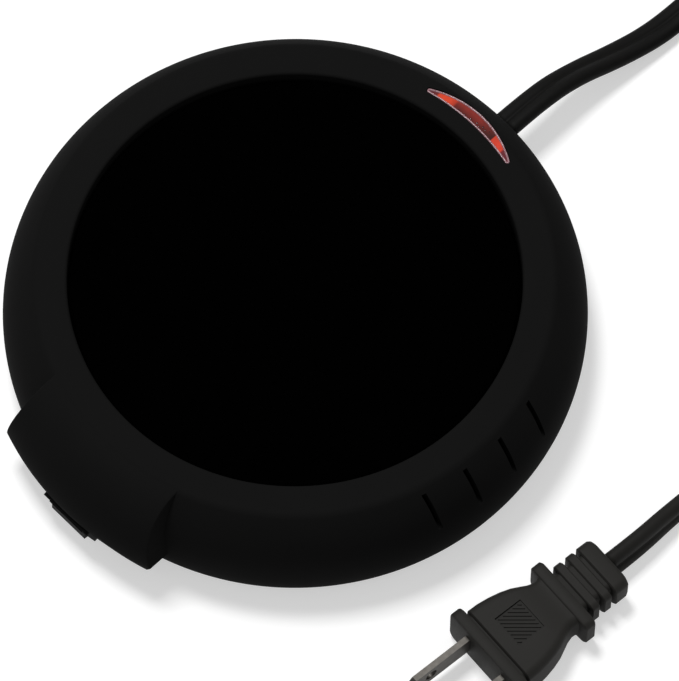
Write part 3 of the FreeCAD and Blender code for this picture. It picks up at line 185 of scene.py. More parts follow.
def turn_at(way):
    """The cord's turn at a way along it, eased from each row of the list to the next."""
    for (start, first), (end, last) in zip(CORD_TURNS, CORD_TURNS[1:]):
        if way <= end:
            share = (way - start) / (end - start)
            return math.radians(first + (last - first) * share * share * (3 - 2 * share))
    return math.radians(CORD_TURNS[-1][1])


# Its section is two round cores of insulation joined by a web, with a groove in each flat side.
CORE_STEPS = 12
GROOVE_DEPTH = 0.00052
GROOVE_REACH = 0.00085
GROOVE_FORM = ((1.0, 0.12), (0.45, 0.6), (0.0, 1.0))  # shares of its reach and of its depth


def cord_section():
    """Points (across, up) round the two cores, with the groove between them."""
    radius = CORD_THICK / 2
    offset = CORD_WIDTH / 2 - radius
    ring = []
    for k in range(CORE_STEPS + 1):
        angle = math.pi * k / CORE_STEPS - math.pi / 2
        ring.append((offset + radius * math.cos(angle), radius * math.sin(angle)))
    groove = [(GROOVE_REACH * out, radius - GROOVE_DEPTH * down) for out, down in GROOVE_FORM]
    ring += groove
    ring += [(-x, z) for x, z in reversed(groove[:-1])]
    return ring + [(-x, -z) for x, z in ring]


def bridge(shape, one, two):
    """Faces between two rings of points, returned as a list."""
    faces = []
    for k in range(len(one)):
        m = (k + 1) % len(one)
        faces.append(shape.faces.new((one[k], one[m], two[m], two[k])))
    return faces


def new_piece(name, shape):
    """An object from a bmesh, with its normals outward."""
    bmesh.ops.recalc_face_normals(shape, faces=shape.faces)
    mesh = bpy.data.meshes.new(name)
    shape.to_mesh(mesh)
    shape.free()
    piece = bpy.data.objects.new(name, mesh)
    bpy.context.collection.objects.link(piece)
    return piece


def sweep_cord(name, line, reach, section):
    """A closed tube that carries the section along the line, turned as turn_at says."""
    shape = bmesh.new()
    rings = []
    for i, place in enumerate(line):
        ahead = line[min(i + 1, len(line) - 1)] - line[max(i - 1, 0)]
        ahead.normalize()
        left = Vector((0, 0, 1)).cross(ahead)
        left.normalize()
        over = ahead.cross(left)
        angle = turn_at(reach[i])
        long_way = left * math.cos(angle) + over * math.sin(angle)
        short_way = over * math.cos(angle) - left * math.sin(angle)
        rings.append([shape.verts.new(place + long_way * x + short_way * z) for x, z in section])
    for one, two in zip(rings, rings[1:]):
        bridge(shape, one, two)
    shape.faces.new(rings[0])
    shape.faces.new(list(reversed(rings[-1])))
    return new_piece(name, shape)


cord = sweep_cord("power_cord", cord_line, cord_reach, cord_section())
cord.data.shade_smooth()


def node_material(name, color, roughness, specular=0.5):
    """A new material with plain values on its Principled shader, its node tree and that shader."""
    material = bpy.data.materials.new(name)
    material.use_nodes = True
    tree = material.node_tree
    shader = tree.nodes["Principled BSDF"]
    shader.inputs["Base Color"].default_value = (*color, 1.0)
    shader.inputs["Roughness"].default_value = roughness
    shader.inputs["Specular IOR Level"].default_value = specular
    return material, tree, shader


def add_noise(tree, scale, detail=3.0, rough=0.5):
    """The 0 to 1 value of a noise texture on Object coordinates."""
    place = tree.nodes.new("ShaderNodeTexCoord")
    noise = tree.nodes.new("ShaderNodeTexNoise")
    noise.inputs["Scale"].default_value = scale
    noise.inputs["Detail"].default_value = detail
    noise.inputs["Roughness"].default_value = rough
    tree.links.new(place.outputs["Object"], noise.inputs["Vector"])
    return noise.outputs["Fac"]


def object_axes(tree):
    """The Object coordinates, with an output for each axis."""
    place = tree.nodes.new("ShaderNodeTexCoord")
    axes = tree.nodes.new("ShaderNodeSeparateXYZ")
    tree.links.new(place.outputs["Object"], axes.inputs["Vector"])
    return axes.outputs


def worked_out(tree, operation, *terms):
    """The value of a Math node; each term is a number or an output."""
    node = tree.nodes.new("ShaderNodeMath")
    node.operation = operation
    for socket, term in zip(node.inputs, terms):
        if isinstance(term, float):
            socket.default_value = term
        else:
            tree.links.new(term, socket)
    return node.outputs["Value"]


def mapped(tree, source, start, end, low=0.0, high=1.0):
    """A value carried from one range to another and kept inside it."""
    span = tree.nodes.new("ShaderNodeMapRange")
    span.inputs["From Min"].default_value = start
    span.inputs["From Max"].default_value = end
    span.inputs["To Min"].default_value = low
    span.inputs["To Max"].default_value = high
    tree.links.new(source, span.inputs["Value"])
    return span.outputs["Result"]


def tint(tree, source, dark, light, shader):
    """Mixes two colours by a 0 to 1 value into the shader's base colour."""
    mix = tree.nodes.new("ShaderNodeMix")
    mix.data_type = "RGBA"
    mix.inputs["A"].default_value = (*dark, 1.0)
    mix.inputs["B"].default_value = (*light, 1.0)
    tree.links.new(source, mix.inputs["Factor"])
    tree.links.new(mix.outputs["Result"], shader.inputs["Base Color"])


def vary_gloss(tree, source, low, high, shader):
    """Spreads the shader's roughness between two numbers by a 0 to 1 value."""
    tree.links.new(mapped(tree, source, 0.0, 1.0, low, high), shader.inputs["Roughness"])


def add_bump(tree, source, distance, shader, strength=1.0):
    """Makes a 0 to 1 value a fine relief, its distance in metres."""
    bump = tree.nodes.new("ShaderNodeBump")
    bump.inputs["Distance"].default_value = distance
    bump.inputs["Strength"].default_value = strength
    tree.links.new(source, bump.inputs["Height"])
    tree.links.new(bump.outputs["Normal"], shader.inputs["Normal"])


def dress(material, *nodes):
    """Gives CAD pieces one material."""
    for name in nodes:
        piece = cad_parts[name]
        piece.data.materials.clear()
        piece.data.materials.append(material)


# The vinyl is darker at the housing and turns unevenly lighter towards the plug.
CORD_DARK = (0.0022, 0.0022, 0.0021)
CORD_LIGHT = (0.0142, 0.0136, 0.0124)
CORD_DARKEST_X = 0.015
CORD_LIGHTEST_X = 0.085
CORD_UNEVEN = 0.3
cord_vinyl, tree, shader = node_material("cord_vinyl", CORD_DARK, roughness=0.62, specular=0.1)
grain = add_noise(tree, scale=900.0)
towards_plug = mapped(tree, object_axes(tree)["X"], CORD_DARKEST_X, CORD_LIGHTEST_X)
cord_tone = worked_out(tree, "MULTIPLY_ADD", grain, CORD_UNEVEN, towards_plug)
tint(tree, cord_tone, CORD_DARK, CORD_LIGHT, shader)
vary_gloss(tree, grain, 0.55, 0.7, shader)
add_bump(tree, grain, 0.00004, shader)
cord.data.materials.append(cord_vinyl)
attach(cord, "housing")
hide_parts("power_cord_outlet", "power_cord_turn", "cord_coil", "power_cord_plug_end")
dress(cord_vinyl, "cord_inner")

# The top cover is one injection moulding of black plastic, screwed on from below: the ring, the rounded
# shoulder, the bellied wall and the switch pod, which is widest at its brow.
# It is turned and cut here, because the kept solid has its pod, vents and shoulder in a plainer form.
MM = 0.001  # the sizes from here on are in millimetres
COVER_STEPS = 240
BASE_Z = 1.7
BELLY_Z = 14.0
CROWN_Z = 31.0
BASE_EDGE_R = 67.9
BELLY_R = 70.2
SHOULDER_R = 62.0
SHOULDER_ROUND = 2.6
WALL = 2.2
RING_UNDER_Z = 28.8
LIP_R = 54.2
LIP_OUT_R = 56.2
LIP_Z = 25.5
LIP_ROUND = 0.8
WALL_STEPS = 22
SHOULDER_STEPS = 9
RING_STEPS = 3
LIP_STEPS = 5
INNER_STEPS = 10


def circle_of(one, two, three):
    """Centre and radius of the circle through three points of a plane."""
    (ax, ay), (bx, by), (cx, cy) = one, two, three
    a = ax * ax + ay * ay
    b = bx * bx + by * by
    c = cx * cx + cy * cy
    d = 2 * (ax * (by - cy) + bx * (cy - ay) + cx * (ay - by))
    x = (a * (by - cy) + b * (cy - ay) + c * (ay - by)) / d
    y = (a * (cx - bx) + b * (ax - cx) + c * (bx - ax)) / d
    return x, y, math.hypot(ax - x, ay - y)


WALL_X, WALL_Y, WALL_R = circle_of((BASE_EDGE_R, BASE_Z), (BELLY_R, BELLY_Z), (SHOULDER_R, CROWN_Z))


def wall_r(z, inset=0.0):
    """How far out the bellied wall is at a height, or a skin that lies inset within it."""
    return WALL_X + math.sqrt((WALL_R - inset) ** 2 - (z - WALL_Y) ** 2)


def between(low, high, count):
    """Numbers from low to high in equal steps."""
    return [low + (high - low) * i / count for i in range(count + 1)]


def round_over(x, y, radius, start, end, count):
    """Points on an arc, with its angles in degrees."""
    turns = [math.radians(angle) for angle in between(start, end, count)]
    return [(x + radius * math.cos(turn), y + radius * math.sin(turn)) for turn in turns]


def rectangle(x0, x1, y0, y1):
    return [(x0, y0), (x1, y0), (x1, y1), (x0, y1)]


def turned(name, section, solid=False):
    """A section of (radius, height) turned about the Z axis; a solid one is capped at its ends."""
    shape = bmesh.new()
    rings = []
    for i in range(COVER_STEPS):
        turn = 2 * math.pi * i / COVER_STEPS
        c = math.cos(turn) * MM
        s = math.sin(turn) * MM
        rings.append([shape.verts.new((r * c, r * s, z * MM)) for r, z in section])
    count = len(section)
    for i in range(COVER_STEPS):
        one = rings[i]
        two = rings[(i + 1) % COVER_STEPS]
        for k in range(count - 1 if solid else count):
            m = (k + 1) % count
            shape.faces.new((one[k], two[k], two[m], one[m]))
    if solid:
        shape.faces.new([ring[0] for ring in rings])
        shape.faces.new([ring[-1] for ring in rings])
    return new_piece(name, shape)


def prism(name, outline, low, high, place):
    """A closed prism: outline points (a, b), carried to 3-D at both ends by place(a, b, c)."""
    shape = bmesh.new()
    ends = [[shape.verts.new(Vector(place(a, b, c)) * MM) for a, b in outline] for c in (low, high)]
    bridge(shape, ends[0], ends[1])
    shape.faces.new(ends[0])
    shape.faces.new(ends[1])
    return new_piece(name, shape)


def upright(a, b, c):
    """A prism's place when its outline lies level."""
    return a, b, c


def apply_change(piece, change):
    """Applies a modifier to its piece."""
    bpy.ops.object.select_all(action="DESELECT")
    bpy.context.view_layer.objects.active = piece
    piece.select_set(True)
    bpy.ops.object.modifier_apply(modifier=change.name)


def combine(piece, other, operation):
    """Adds another solid to a piece or cuts it from the piece, and uses it up."""
    change = piece.modifiers.new("combine", "BOOLEAN")
    change.operation = operation
    change.solver = "EXACT"
    change.object = other
    apply_change(piece, change)
    bpy.data.objects.remove(other)


def round_edges(piece, width, segments, angle):
    """Rounds the edges that turn by more than an angle in degrees."""
    change = piece.modifiers.new("round", "BEVEL")
    change.width = width
    change.segments = segments
    change.limit_method = "ANGLE"
    change.angle_limit = math.radians(angle)
    apply_change(piece, change)


def smooth(piece, angle):
    """Shades a piece smooth, but for edges that turn by more than an angle in degrees."""
    piece.data.shade_smooth()
    piece.data.set_sharp_from_angle(angle=math.radians(angle))


def cover_section():
    """The ring, lip and wall in section, without the pod."""
    corner_z = CROWN_Z - SHOULDER_ROUND
    corner_x = wall_r(corner_z, SHOULDER_ROUND)
    lean = math.degrees(math.atan2(corner_z - WALL_Y, corner_x - WALL_X))
    shoulder = round_over(corner_x, corner_z, SHOULDER_ROUND, lean, 90.0, SHOULDER_STEPS)
    lip = round_over(LIP_R + LIP_ROUND, CROWN_Z - LIP_ROUND, LIP_ROUND, 90.0, 180.0, LIP_STEPS)
    wall = [(wall_r(z), z) for z in between(BASE_Z, shoulder[0][1], WALL_STEPS)[:-1]]
    ring = [(r, CROWN_Z) for r in between(shoulder[-1][0], LIP_R + LIP_ROUND, RING_STEPS)[1:-1]]
    under = [(LIP_R, LIP_Z), (LIP_OUT_R, LIP_Z), (LIP_OUT_R, RING_UNDER_Z)]
    inner = [(wall_r(z, WALL), z) for z in between(RING_UNDER_Z, BASE_Z, INNER_STEPS)]
    return wall + shoulder + ring + lip + under + inner


# The pod: an oval top, the brow, a face tucked in below it, and sides that lean in above and below.
POD_START_R = 61.0
POD_R = 75.8
POD_BACK_Y = -57.0
POD_DROP = 0.1
BROW_Z = 12.2
POD_HALVES = ((0.0, 20.4), (BROW_Z, 24.8), (CROWN_Z, 21.0))  # height and half width
FACE_LEAN = math.radians(18.0)
POD_ROUND = 0.9
POD_ROUND_STEPS = 4
POD_FACE_STEPS = 4
POD_TOP_STEPS = 16
POD_COLUMNS = 30


def pod_half(z, inset):
    """Half the pod's width at a height."""
    (low, first), (high, last) = POD_HALVES[:2] if z <= BROW_Z else POD_HALVES[1:]
    return first + (last - first) * (z - low) / (high - low) - inset


def pod_solid(name, inset, foot_z):
    """The pod as one solid down to foot_z, or its hollow, which lies inset within it."""
    foot_r = POD_R - math.tan(FACE_LEAN) * (BROW_Z - foot_z) - inset / math.cos(FACE_LEAN)
    reach = POD_R - POD_START_R - inset
    rise = CROWN_Z - POD_DROP - BROW_Z - inset
    face_rs = between(foot_r, POD_START_R + reach, POD_FACE_STEPS)[:-1]
    face_zs = between(foot_z, BROW_Z, POD_FACE_STEPS)[:-1]
    top = [
        (POD_START_R + reach * math.cos(turn), BROW_Z + rise * math.sin(turn))
        for turn in between(0.0, math.pi / 2, POD_TOP_STEPS)
    ]
    rows = list(zip(face_rs, face_zs)) + top
    shape = bmesh.new()
    columns = []
    for share in between(-1.0, 1.0, POD_COLUMNS):
        line = []
        for r, z in rows:
            x = share * pod_half(z, inset)
            line.append(shape.verts.new((x * MM, -math.sqrt(r * r - x * x) * MM, z * MM)))
        for z in (rows[-1][1], BROW_Z, foot_z):
            line.append(shape.verts.new((share * pod_half(z, inset) * MM, POD_BACK_Y * MM, z * MM)))
        columns.append(line)
    for one, two in zip(columns, columns[1:]):
        for k in range(len(one)):
            m = (k + 1) % len(one)
            shape.faces.new((one[k], two[k], two[m], one[m]))
    for line in (columns[0], columns[-1]):
        shape.faces.new(line[POD_FACE_STEPS:-1])
        shape.faces.new(line[:POD_FACE_STEPS + 1] + line[-2:])
    return new_piece(name, shape)


# The pod joins the turned cover before the room inside is cut, a hair wider than the hollow section.
CUT_Z = BASE_Z - 0.6
ROOM_IN_R = 56.4
ROOM_SLACK = 0.05
ROOM_STEPS = 12
cover = turned("housing_cover", cover_section())
pod = pod_solid("pod", 0.0, BASE_Z)
round_edges(pod, POD_ROUND * MM, POD_ROUND_STEPS, 40.0)
combine(cover, pod, "UNION")
combine(cover, pod_solid("hollow", WALL, CUT_Z), "DIFFERENCE")
room_top = RING_UNDER_Z + ROOM_SLACK
room = [(wall_r(z, WALL - ROOM_SLACK), z) for z in between(CUT_Z, room_top, ROOM_STEPS)]
room += [(ROOM_IN_R, room_top), (ROOM_IN_R, CUT_Z)]
combine(cover, turned("room", room), "DIFFERENCE")

# The vents: four parallel slots in the wall's right side, round at their lower ends.
VENT_COUNT = 4
VENT_PITCH = 11.4
VENT_HALF = 0.6
VENT_LOW_Z = 19.5
VENT_HIGH_Z = 29.4
VENT_IN_X = 58.4
VENT_OUT_X = 73.0
vent_outline = [(VENT_HALF, VENT_HIGH_Z), (-VENT_HALF, VENT_HIGH_Z)]
vent_outline += round_over(0.0, VENT_LOW_Z, VENT_HALF, 180.0, 360.0, 8)
for i in range(VENT_COUNT):
    y = (i - (VENT_COUNT - 1) / 2) * VENT_PITCH
    slot = prism("slot", vent_outline, VENT_IN_X, VENT_OUT_X, lambda a, b, c: (c, y + a, b))
    combine(cover, slot, "DIFFERENCE")

# The hole for the flat cord, in the rear wall.
CORD_HOLE_Z = 13.0
CORD_HOLE_ROUND = 2.15
CORD_HOLE_REACH = 1.8
CORD_HOLE_IN_Y = 61.0
CORD_HOLE_OUT_Y = 74.0
hole_outline = round_over(CORD_HOLE_REACH, CORD_HOLE_Z, CORD_HOLE_ROUND, -90.0, 90.0, 10)
hole_outline += round_over(-CORD_HOLE_REACH, CORD_HOLE_Z, CORD_HOLE_ROUND, 90.0, 270.0, 10)
hole = prism("hole", hole_outline, CORD_HOLE_IN_Y, CORD_HOLE_OUT_Y, lambda a, b, c: (a, c, b))
combine(cover, hole, "DIFFERENCE")

# The crescent in the ring, with a small gap round the lens.
LENS_TIP = (16.4, 56.4)
LENS_OUT_Y = 62.2
LENS_IN_Y = 58.8
LENS_TIP_ROUND = 0.6
LENS_LOW_Z = 27.4
LENS_GAP = 0.12
LENS_ROOM_TOP_Z = 33.0
LENS_ARC_STEPS = 60
LENS_TIP_STEPS = 8


def crescent(grow):
    """The lens's outline, moved out by grow: a bowed outer arc, a flatter inner one, and round tips."""
    left = (-LENS_TIP[0], LENS_TIP[1])
    x, outer_y, outer_r = circle_of(left, (0.0, LENS_OUT_Y), LENS_TIP)
    x, inner_y, inner_r = circle_of(left, (0.0, LENS_IN_Y), LENS_TIP)
    a = outer_r - LENS_TIP_ROUND
    b = inner_r + LENS_TIP_ROUND
    tip_y = (a * a - b * b - outer_y ** 2 + inner_y ** 2) / (2 * (inner_y - outer_y))
    tip_x = math.sqrt(a * a - (tip_y - outer_y) ** 2)
    outer_lean = math.degrees(math.atan2(tip_y - outer_y, tip_x))
    inner_lean = math.degrees(math.atan2(tip_y - inner_y, tip_x))
    small = LENS_TIP_ROUND + grow
    tip = LENS_TIP_STEPS
    points = round_over(0.0, outer_y, outer_r + grow, outer_lean, 180.0 - outer_lean, LENS_ARC_STEPS)
    points += round_over(-tip_x, tip_y, small, 180.0 - outer_lean, 360.0 - inner_lean, tip)[1:-1]
    points += round_over(0.0, inner_y, inner_r - grow, 180.0 - inner_lean, inner_lean, LENS_ARC_STEPS)
    points += round_over(tip_x, tip_y, small, inner_lean - 180.0, outer_lean, tip)[1:-1]
    return points


lens_room = prism("lens_room", crescent(LENS_GAP), LENS_LOW_Z, LENS_ROOM_TOP_Z, upright)
combine(cover, lens_room, "DIFFERENCE")

# The switch's opening in the pod's leaning face, and the seat for its frame.
FACE_Z = 6.9
FACE_R = POD_R - math.tan(FACE_LEAN) * (BROW_Z - FACE_Z)
SWITCH_SEAT = (7.62, 4.62, -0.5)  # half width, half height, and floor on the way out of the face
SWITCH_OPENING = (6.52, 3.92, -6.6)
SWITCH_CUT_TOP = 4.4


def on_face(a, b, c):
    """From the switch's own frame, a across, b up the face and c out of it, to the pod."""
    turn = math.pi / 2 + FACE_LEAN
    y = b * math.cos(turn) - c * math.sin(turn)
    z = b * math.sin(turn) + c * math.cos(turn)
    return a, y - FACE_R, z + FACE_Z


for wide, tall, deep in (SWITCH_SEAT, SWITCH_OPENING):
    opening = prism("opening", rectangle(-wide, wide, -tall, tall), deep, SWITCH_CUT_TOP, on_face)
    combine(cover, opening, "DIFFERENCE")
smooth(cover, 26.0)
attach(cover, "housing")
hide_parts("top_cover")

# Its surface is a fine satin grain from the mould, slightly uneven in tone and gloss.
COVER_DARK = (0.0061, 0.0061, 0.0061)
COVER_LIGHT = (0.0077, 0.0077, 0.0076)
cover_plastic, tree, shader = node_material("cover_plastic", COVER_DARK, roughness=0.75, specular=0.016)
grain = add_noise(tree, scale=2600.0, detail=2.0)
clouds = add_noise(tree, scale=60.0, detail=4.0)
tint(tree, clouds, COVER_DARK, COVER_LIGHT, shader)
vary_gloss(tree, clouds, 0.68, 0.8, shader)
add_bump(tree, grain, 0.00002, shader)
cover.data.materials.append(cover_plastic)

# The base is moulded in the same plastic with a plainer finish: a floor with vents, bosses for the
# case screws and seats for the feet. The lamp's bracket and the cord's clamp are of the same plastic.
# It keeps the CAD's form, but its tongue under the pod is trimmed to the pod's drawn-in sides.
TONGUE_HALF = 18.6
TRIM_SIDE_X = 30.0
TRIM_FRONT_Y = -78.0
TRIM_BACK_Y = -58.0
TRIM_LOW_Z = -1.0
TRIM_HIGH_Z = 10.0
DISC_R = 65.85
DISC_LOW_Z = -2.0
DISC_HIGH_Z = 12.0
SAME_POINT = 0.000001
floor_shape = bmesh.new()
floor_shape.from_mesh(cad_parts["base_cover"].data)
bmesh.ops.remove_doubles(floor_shape, verts=floor_shape.verts, dist=SAME_POINT)
base = new_piece("housing_base", floor_shape)
disc = [(DISC_R, DISC_LOW_Z), (DISC_R, DISC_HIGH_Z)]
for side in (1, -1):
    strip = rectangle(side * TONGUE_HALF, side * TRIM_SIDE_X, TRIM_FRONT_Y, TRIM_BACK_Y)
    trim = prism("trim", strip, TRIM_LOW_Z, TRIM_HIGH_Z, upright)
    combine(trim, turned("disc", disc, solid=True), "DIFFERENCE")
    combine(base, trim, "DIFFERENCE")
smooth(base, 26.0)
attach(base, "housing")
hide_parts("base_cover")
base_plastic, tree, shader = node_material("base_plastic", COVER_DARK, roughness=0.7, specular=0.05)
grain = add_noise(tree, scale=1500.0, detail=2.0)
clouds = add_noise(tree, scale=90.0)
tint(tree, clouds, COVER_DARK, COVER_LIGHT, shader)
vary_gloss(tree, grain, 0.62, 0.76, shader)
add_bump(tree, grain, 0.00003, shader)
base.data.materials.append(base_plastic)
dress(base_plastic, "lamp_bracket", "cord_clamp")

# The warming plate is a disc of pressed steel that stands on the base's supports, under the cover's lip.
# It has a matt black baked coating, with a faint orange peel in its film.
PLATE_BLACK = (0.0002, 0.0002, 0.0002)
PLATE_GREY = (0.0004, 0.0004, 0.0004)
plate_coating, tree, shader = node_material("plate_coating", PLATE_BLACK, roughness=0.7, specular=0.0)
grain = add_noise(tree, scale=1800.0, detail=2.0)
tint(tree, grain, PLATE_BLACK, PLATE_GREY, shader)
vary_gloss(tree, grain, 0.6, 0.75, shader)
add_bump(tree, grain, 0.00001, shader)
dress(plate_coating, "warming_plate")

# The indicator lens is a crescent of red plastic with a rounded rim, let into the ring from above.
# The stretches of colour along it are painted for what shows through a clear lens: the lamp's dark sleeve
# in the middle, a brighter stretch of painted light on each side of it, and dark tips. Small bubbles lie
# along the sleeve.
LENS_RIM_SLOT = 1
LENS_BUBBLE_SLOT = 2
LENS_RINGS = (  # how far out of the crescent, and height
    (0.0, LENS_LOW_Z),
    (0.0, 30.55),
    (-0.05, 30.74),
    (-0.17, 30.84),
    (-0.3, 30.85),
    (-0.42, 30.79),
    (-0.52, 30.62),
)
lens_shape = bmesh.new()
loops = []
for grow, z in LENS_RINGS:
    loops.append([lens_shape.verts.new((x * MM, y * MM, z * MM)) for x, y in crescent(grow)])
bridge(lens_shape, loops[0], loops[1])
for one, two in zip(loops[1:], loops[2:]):
    for face in bridge(lens_shape, one, two):
        face.material_index = LENS_RIM_SLOT
lens_shape.faces.new(loops[0])
lens_shape.faces.new(loops[-1])
BUBBLE_Z = 30.6
BUBBLE_SQUASH = 0.45
BUBBLES = (  # x, y and radius
    (-4.7, 59.15, 0.42),
    (-3.7, 58.95, 0.3),
    (-2.8, 59.3, 0.36),
    (-1.9, 59.1, 0.24),
    (-1.0, 59.55, 0.34),
    (0.0, 59.3, 0.22),
    (0.9, 59.9, 0.3),
    (1.8, 59.6, 0.24),
    (2.7, 60.2, 0.32),
    (3.6, 60.0, 0.26),
    (4.6, 60.4, 0.22),
)
for x, y, radius in BUBBLES:
    made = bmesh.ops.create_uvsphere(lens_shape, u_segments=14, v_segments=8, radius=radius * MM)
    for vertex in made["verts"]:
        vertex.co.z *= BUBBLE_SQUASH
        vertex.co += Vector((x, y, BUBBLE_Z)) * MM
        for face in vertex.link_faces:
            face.material_index = LENS_BUBBLE_SLOT
lens = new_piece("lens_crescent", lens_shape)
smooth(lens, 40.0)
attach(lens, "housing")
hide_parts("indicator_lens")

# The brighter stretches in this table are painted light coming through the lens; the dark middle is the
# sleeve painted on.
LENS_SPAN = 14.5
LENS_STRETCHES = (  # x and colour
    (-14.3, (0.13, 0.014, 0.022)),
    (-12.6, (0.10, 0.010, 0.016)),
    (-11.3, (0.16, 0.016, 0.014)),
    (-10.9, (0.62, 0.050, 0.016)),
    (-8.2, (0.66, 0.056, 0.016)),
    (-6.8, (0.50, 0.040, 0.014)),
    (-6.0, (0.24, 0.020, 0.012)),
    (0.5, (0.22, 0.018, 0.012)),
    (3.6, (0.14, 0.014, 0.010)),
    (6.35, (0.075, 0.010, 0.007)),
    (6.5, (0.58, 0.046, 0.020)),
    (10.0, (0.66, 0.052, 0.024)),
    (10.6, (0.14, 0.014, 0.020)),
    (13.8, (0.13, 0.016, 0.026)),
)
SLEEVE_SHADE = 0.45
SLEEVE_IN_Y = 59.4
SLEEVE_OUT_Y = 60.9
SLEEVE_HALF = 5.6
SLEEVE_END = 6.6
lens_plastic, tree, shader = node_material("lens_plastic", (0.5, 0.04, 0.02), roughness=0.14, specular=0.4)
axes = object_axes(tree)
ramp = tree.nodes.new("ShaderNodeValToRGB")
stops = ramp.color_ramp.elements
for i, (x, color) in enumerate(LENS_STRETCHES):
    share = (x + LENS_SPAN) / (2 * LENS_SPAN)
    stop = stops[0] if i == 0 else stops.new(share)
    stop.position = share
    stop.color = (*color, 1.0)
tree.links.new(mapped(tree, axes["X"], -LENS_SPAN * MM, LENS_SPAN * MM), ramp.inputs["Fac"])
# The sleeve darkens the crescent's inner side, and only in its middle.
inner_side = mapped(tree, axes["Y"], SLEEVE_IN_Y * MM, SLEEVE_OUT_Y * MM, low=SLEEVE_SHADE)
off_middle = worked_out(tree, "ABSOLUTE", axes["X"])
beyond = mapped(tree, off_middle, SLEEVE_HALF * MM, SLEEVE_END * MM)
sleeve_shade = worked_out(tree, "MAXIMUM", inner_side, beyond)
mottle = add_noise(tree, scale=900.0, detail=4.0, rough=0.6)
strength = worked_out(tree, "MULTIPLY", sleeve_shade, mapped(tree, mottle, 0.0, 1.0, low=0.7, high=1.3))
glow = tree.nodes.new("ShaderNodeVectorMath")
glow.operation = "SCALE"
tree.links.new(ramp.outputs["Color"], glow.inputs["Vector"])
tree.links.new(strength, glow.inputs["Scale"])
tree.links.new(glow.outputs["Vector"], shader.inputs["Base Color"])
add_bump(tree, mottle, 0.00004, shader, strength=0.5)
lens.data.materials.append(lens_plastic)

# The rim is painted pale and pinkish with pale flecks, a painted highlight and painted glints where it
# catches the light, and the bubbles are dark red dots.
RIM_DARK = (0.13, 0.035, 0.045)
RIM_HIGHLIGHT = (0.46, 0.28, 0.31)
BUBBLE_DARK = (0.025, 0.004, 0.006)
BUBBLE_LIGHT = (0.11, 0.014, 0.014)
rim_plastic, tree, shader = node_material("lens_rim", (0.30, 0.13, 0.15), roughness=0.16)
glint_flecks = add_noise(tree, scale=1600.0, detail=2.0)
tint(tree, glint_flecks, RIM_DARK, RIM_HIGHLIGHT, shader)
vary_gloss(tree, glint_flecks, 0.12, 0.3, shader)
add_bump(tree, glint_flecks, 0.00003, shader)
lens.data.materials.append(rim_plastic)
bubble_plastic, tree, shader = node_material("lens_bubble", (0.05, 0.008, 0.01), roughness=0.08)
tint(tree, add_noise(tree, scale=2200.0, detail=2.0), BUBBLE_DARK, BUBBLE_LIGHT, shader)
lens.data.materials.append(bubble_plastic)

# Under the lens a small neon lamp lies in a dark sleeve, on a bracket that hangs from the ring.
# The sleeve is dull black insulation with a touch of red on it, and the glass is tinted by the gas.
SLEEVE_COLOR = (0.02, 0.004, 0.004)
GLASS_DEEP = (1.0, 0.35, 0.2)
GLASS_PALE = (1.0, 0.65, 0.4)
sleeve_black, tree, shader = node_material("sleeve_black", SLEEVE_COLOR, roughness=0.6, specular=0.3)
add_bump(tree, add_noise(tree, scale=3000.0, detail=2.0), 0.00002, shader)
dress(sleeve_black, "lamp_sleeve")
lamp_glass, tree, shader = node_material("lamp_glass", (1.0, 0.5, 0.3), roughness=0.1)
tint(tree, add_noise(tree, scale=300.0, detail=2.0), GLASS_DEEP, GLASS_PALE, shader)
dress(lamp_glass, "neon_lamp")

# The switch is a rocker on two pins in a frame that is pressed into the pod's leaning face.
# Both are moulded in black plastic with a satin finish.
SWITCH_BLACK = (0.0045, 0.0045, 0.0045)
switch_plastic, tree, shader = node_material("switch_plastic", SWITCH_BLACK, roughness=0.5, specular=0.04)
vary_gloss(tree, add_noise(tree, scale=1200.0, detail=2.0), 0.44, 0.56, shader)
dress(switch_plastic, "switch_housing", "switch_rocker")


def dress_metal(name, color, roughness, *nodes):
    """Gives CAD pieces a bare metal with faint streaks."""
    metal, tree, shader = node_material(name, color, roughness)
    shader.inputs["Metallic"].default_value = 1.0
    streaks = add_noise(tree, scale=700.0, detail=4.0, rough=0.6)
    vary_gloss(tree, streaks, roughness - 0.08, roughness + 0.1, shader)
    add_bump(tree, streaks, 0.00001, shader)
    dress(metal, *nodes)


def dress_soft(name, color, roughness, scale, *nodes):
    """Gives CAD pieces a plain non-metal with a grain of this scale."""
    stuff, tree, shader = node_material(name, color, roughness)
    grain = add_noise(tree, scale)
    vary_gloss(tree, grain, roughness - 0.06, min(1.0, roughness + 0.06), shader)
    add_bump(tree, grain, 0.00004, shader)
    dress(stuff, *nodes)


# In the switch, a brass plunger on a spring tips a see-saw lever that joins the two terminals.
# The lever and the terminals are stamped brass.
dress_metal(
    "contact_brass", (0.62, 0.44, 0.18), 0.34,
    "switch_terminal_1", "switch_terminal_2", "switch_contact_lever", "switch_plunger",
)

# Screws, washer and nut are zinc-plated steel: they hold the case, the cord's clamp and the heater.
# The switch's spring and the thermal fuse's metal case look alike and share their finish.
dress_metal(
    "zinc", (0.55, 0.55, 0.57), 0.34,
    "case_screws", "clamp_screws", "clamp_washer", "clamp_nut", "switch_spring", "thermal_fuse",
)

# Under the plate lies the heater: a ribbon between two sheets of mica, a felt pad, and a galvanised steel
# plate, all drawn up by a nut on the warming plate's stud. A clip of the same steel holds the fuse in its
# sleeve, and a silicone ring lies between the warming plate's flange and the cover's lip.
dress_metal("galvanised", (0.6, 0.61, 0.62), 0.42, "pressure_plate", "fuse_clip", "heater_ribbon")
dress_soft("mica", (0.5, 0.42, 0.25), 0.35, 600.0, "mica_upper", "mica_lower")
dress_soft("felt", (0.75, 0.74, 0.7), 0.95, 1500.0, "insulation_pad", "fuse_sleeve")
dress_soft("silicone", (0.45, 0.13, 0.08), 0.6, 900.0, "plate_gasket")

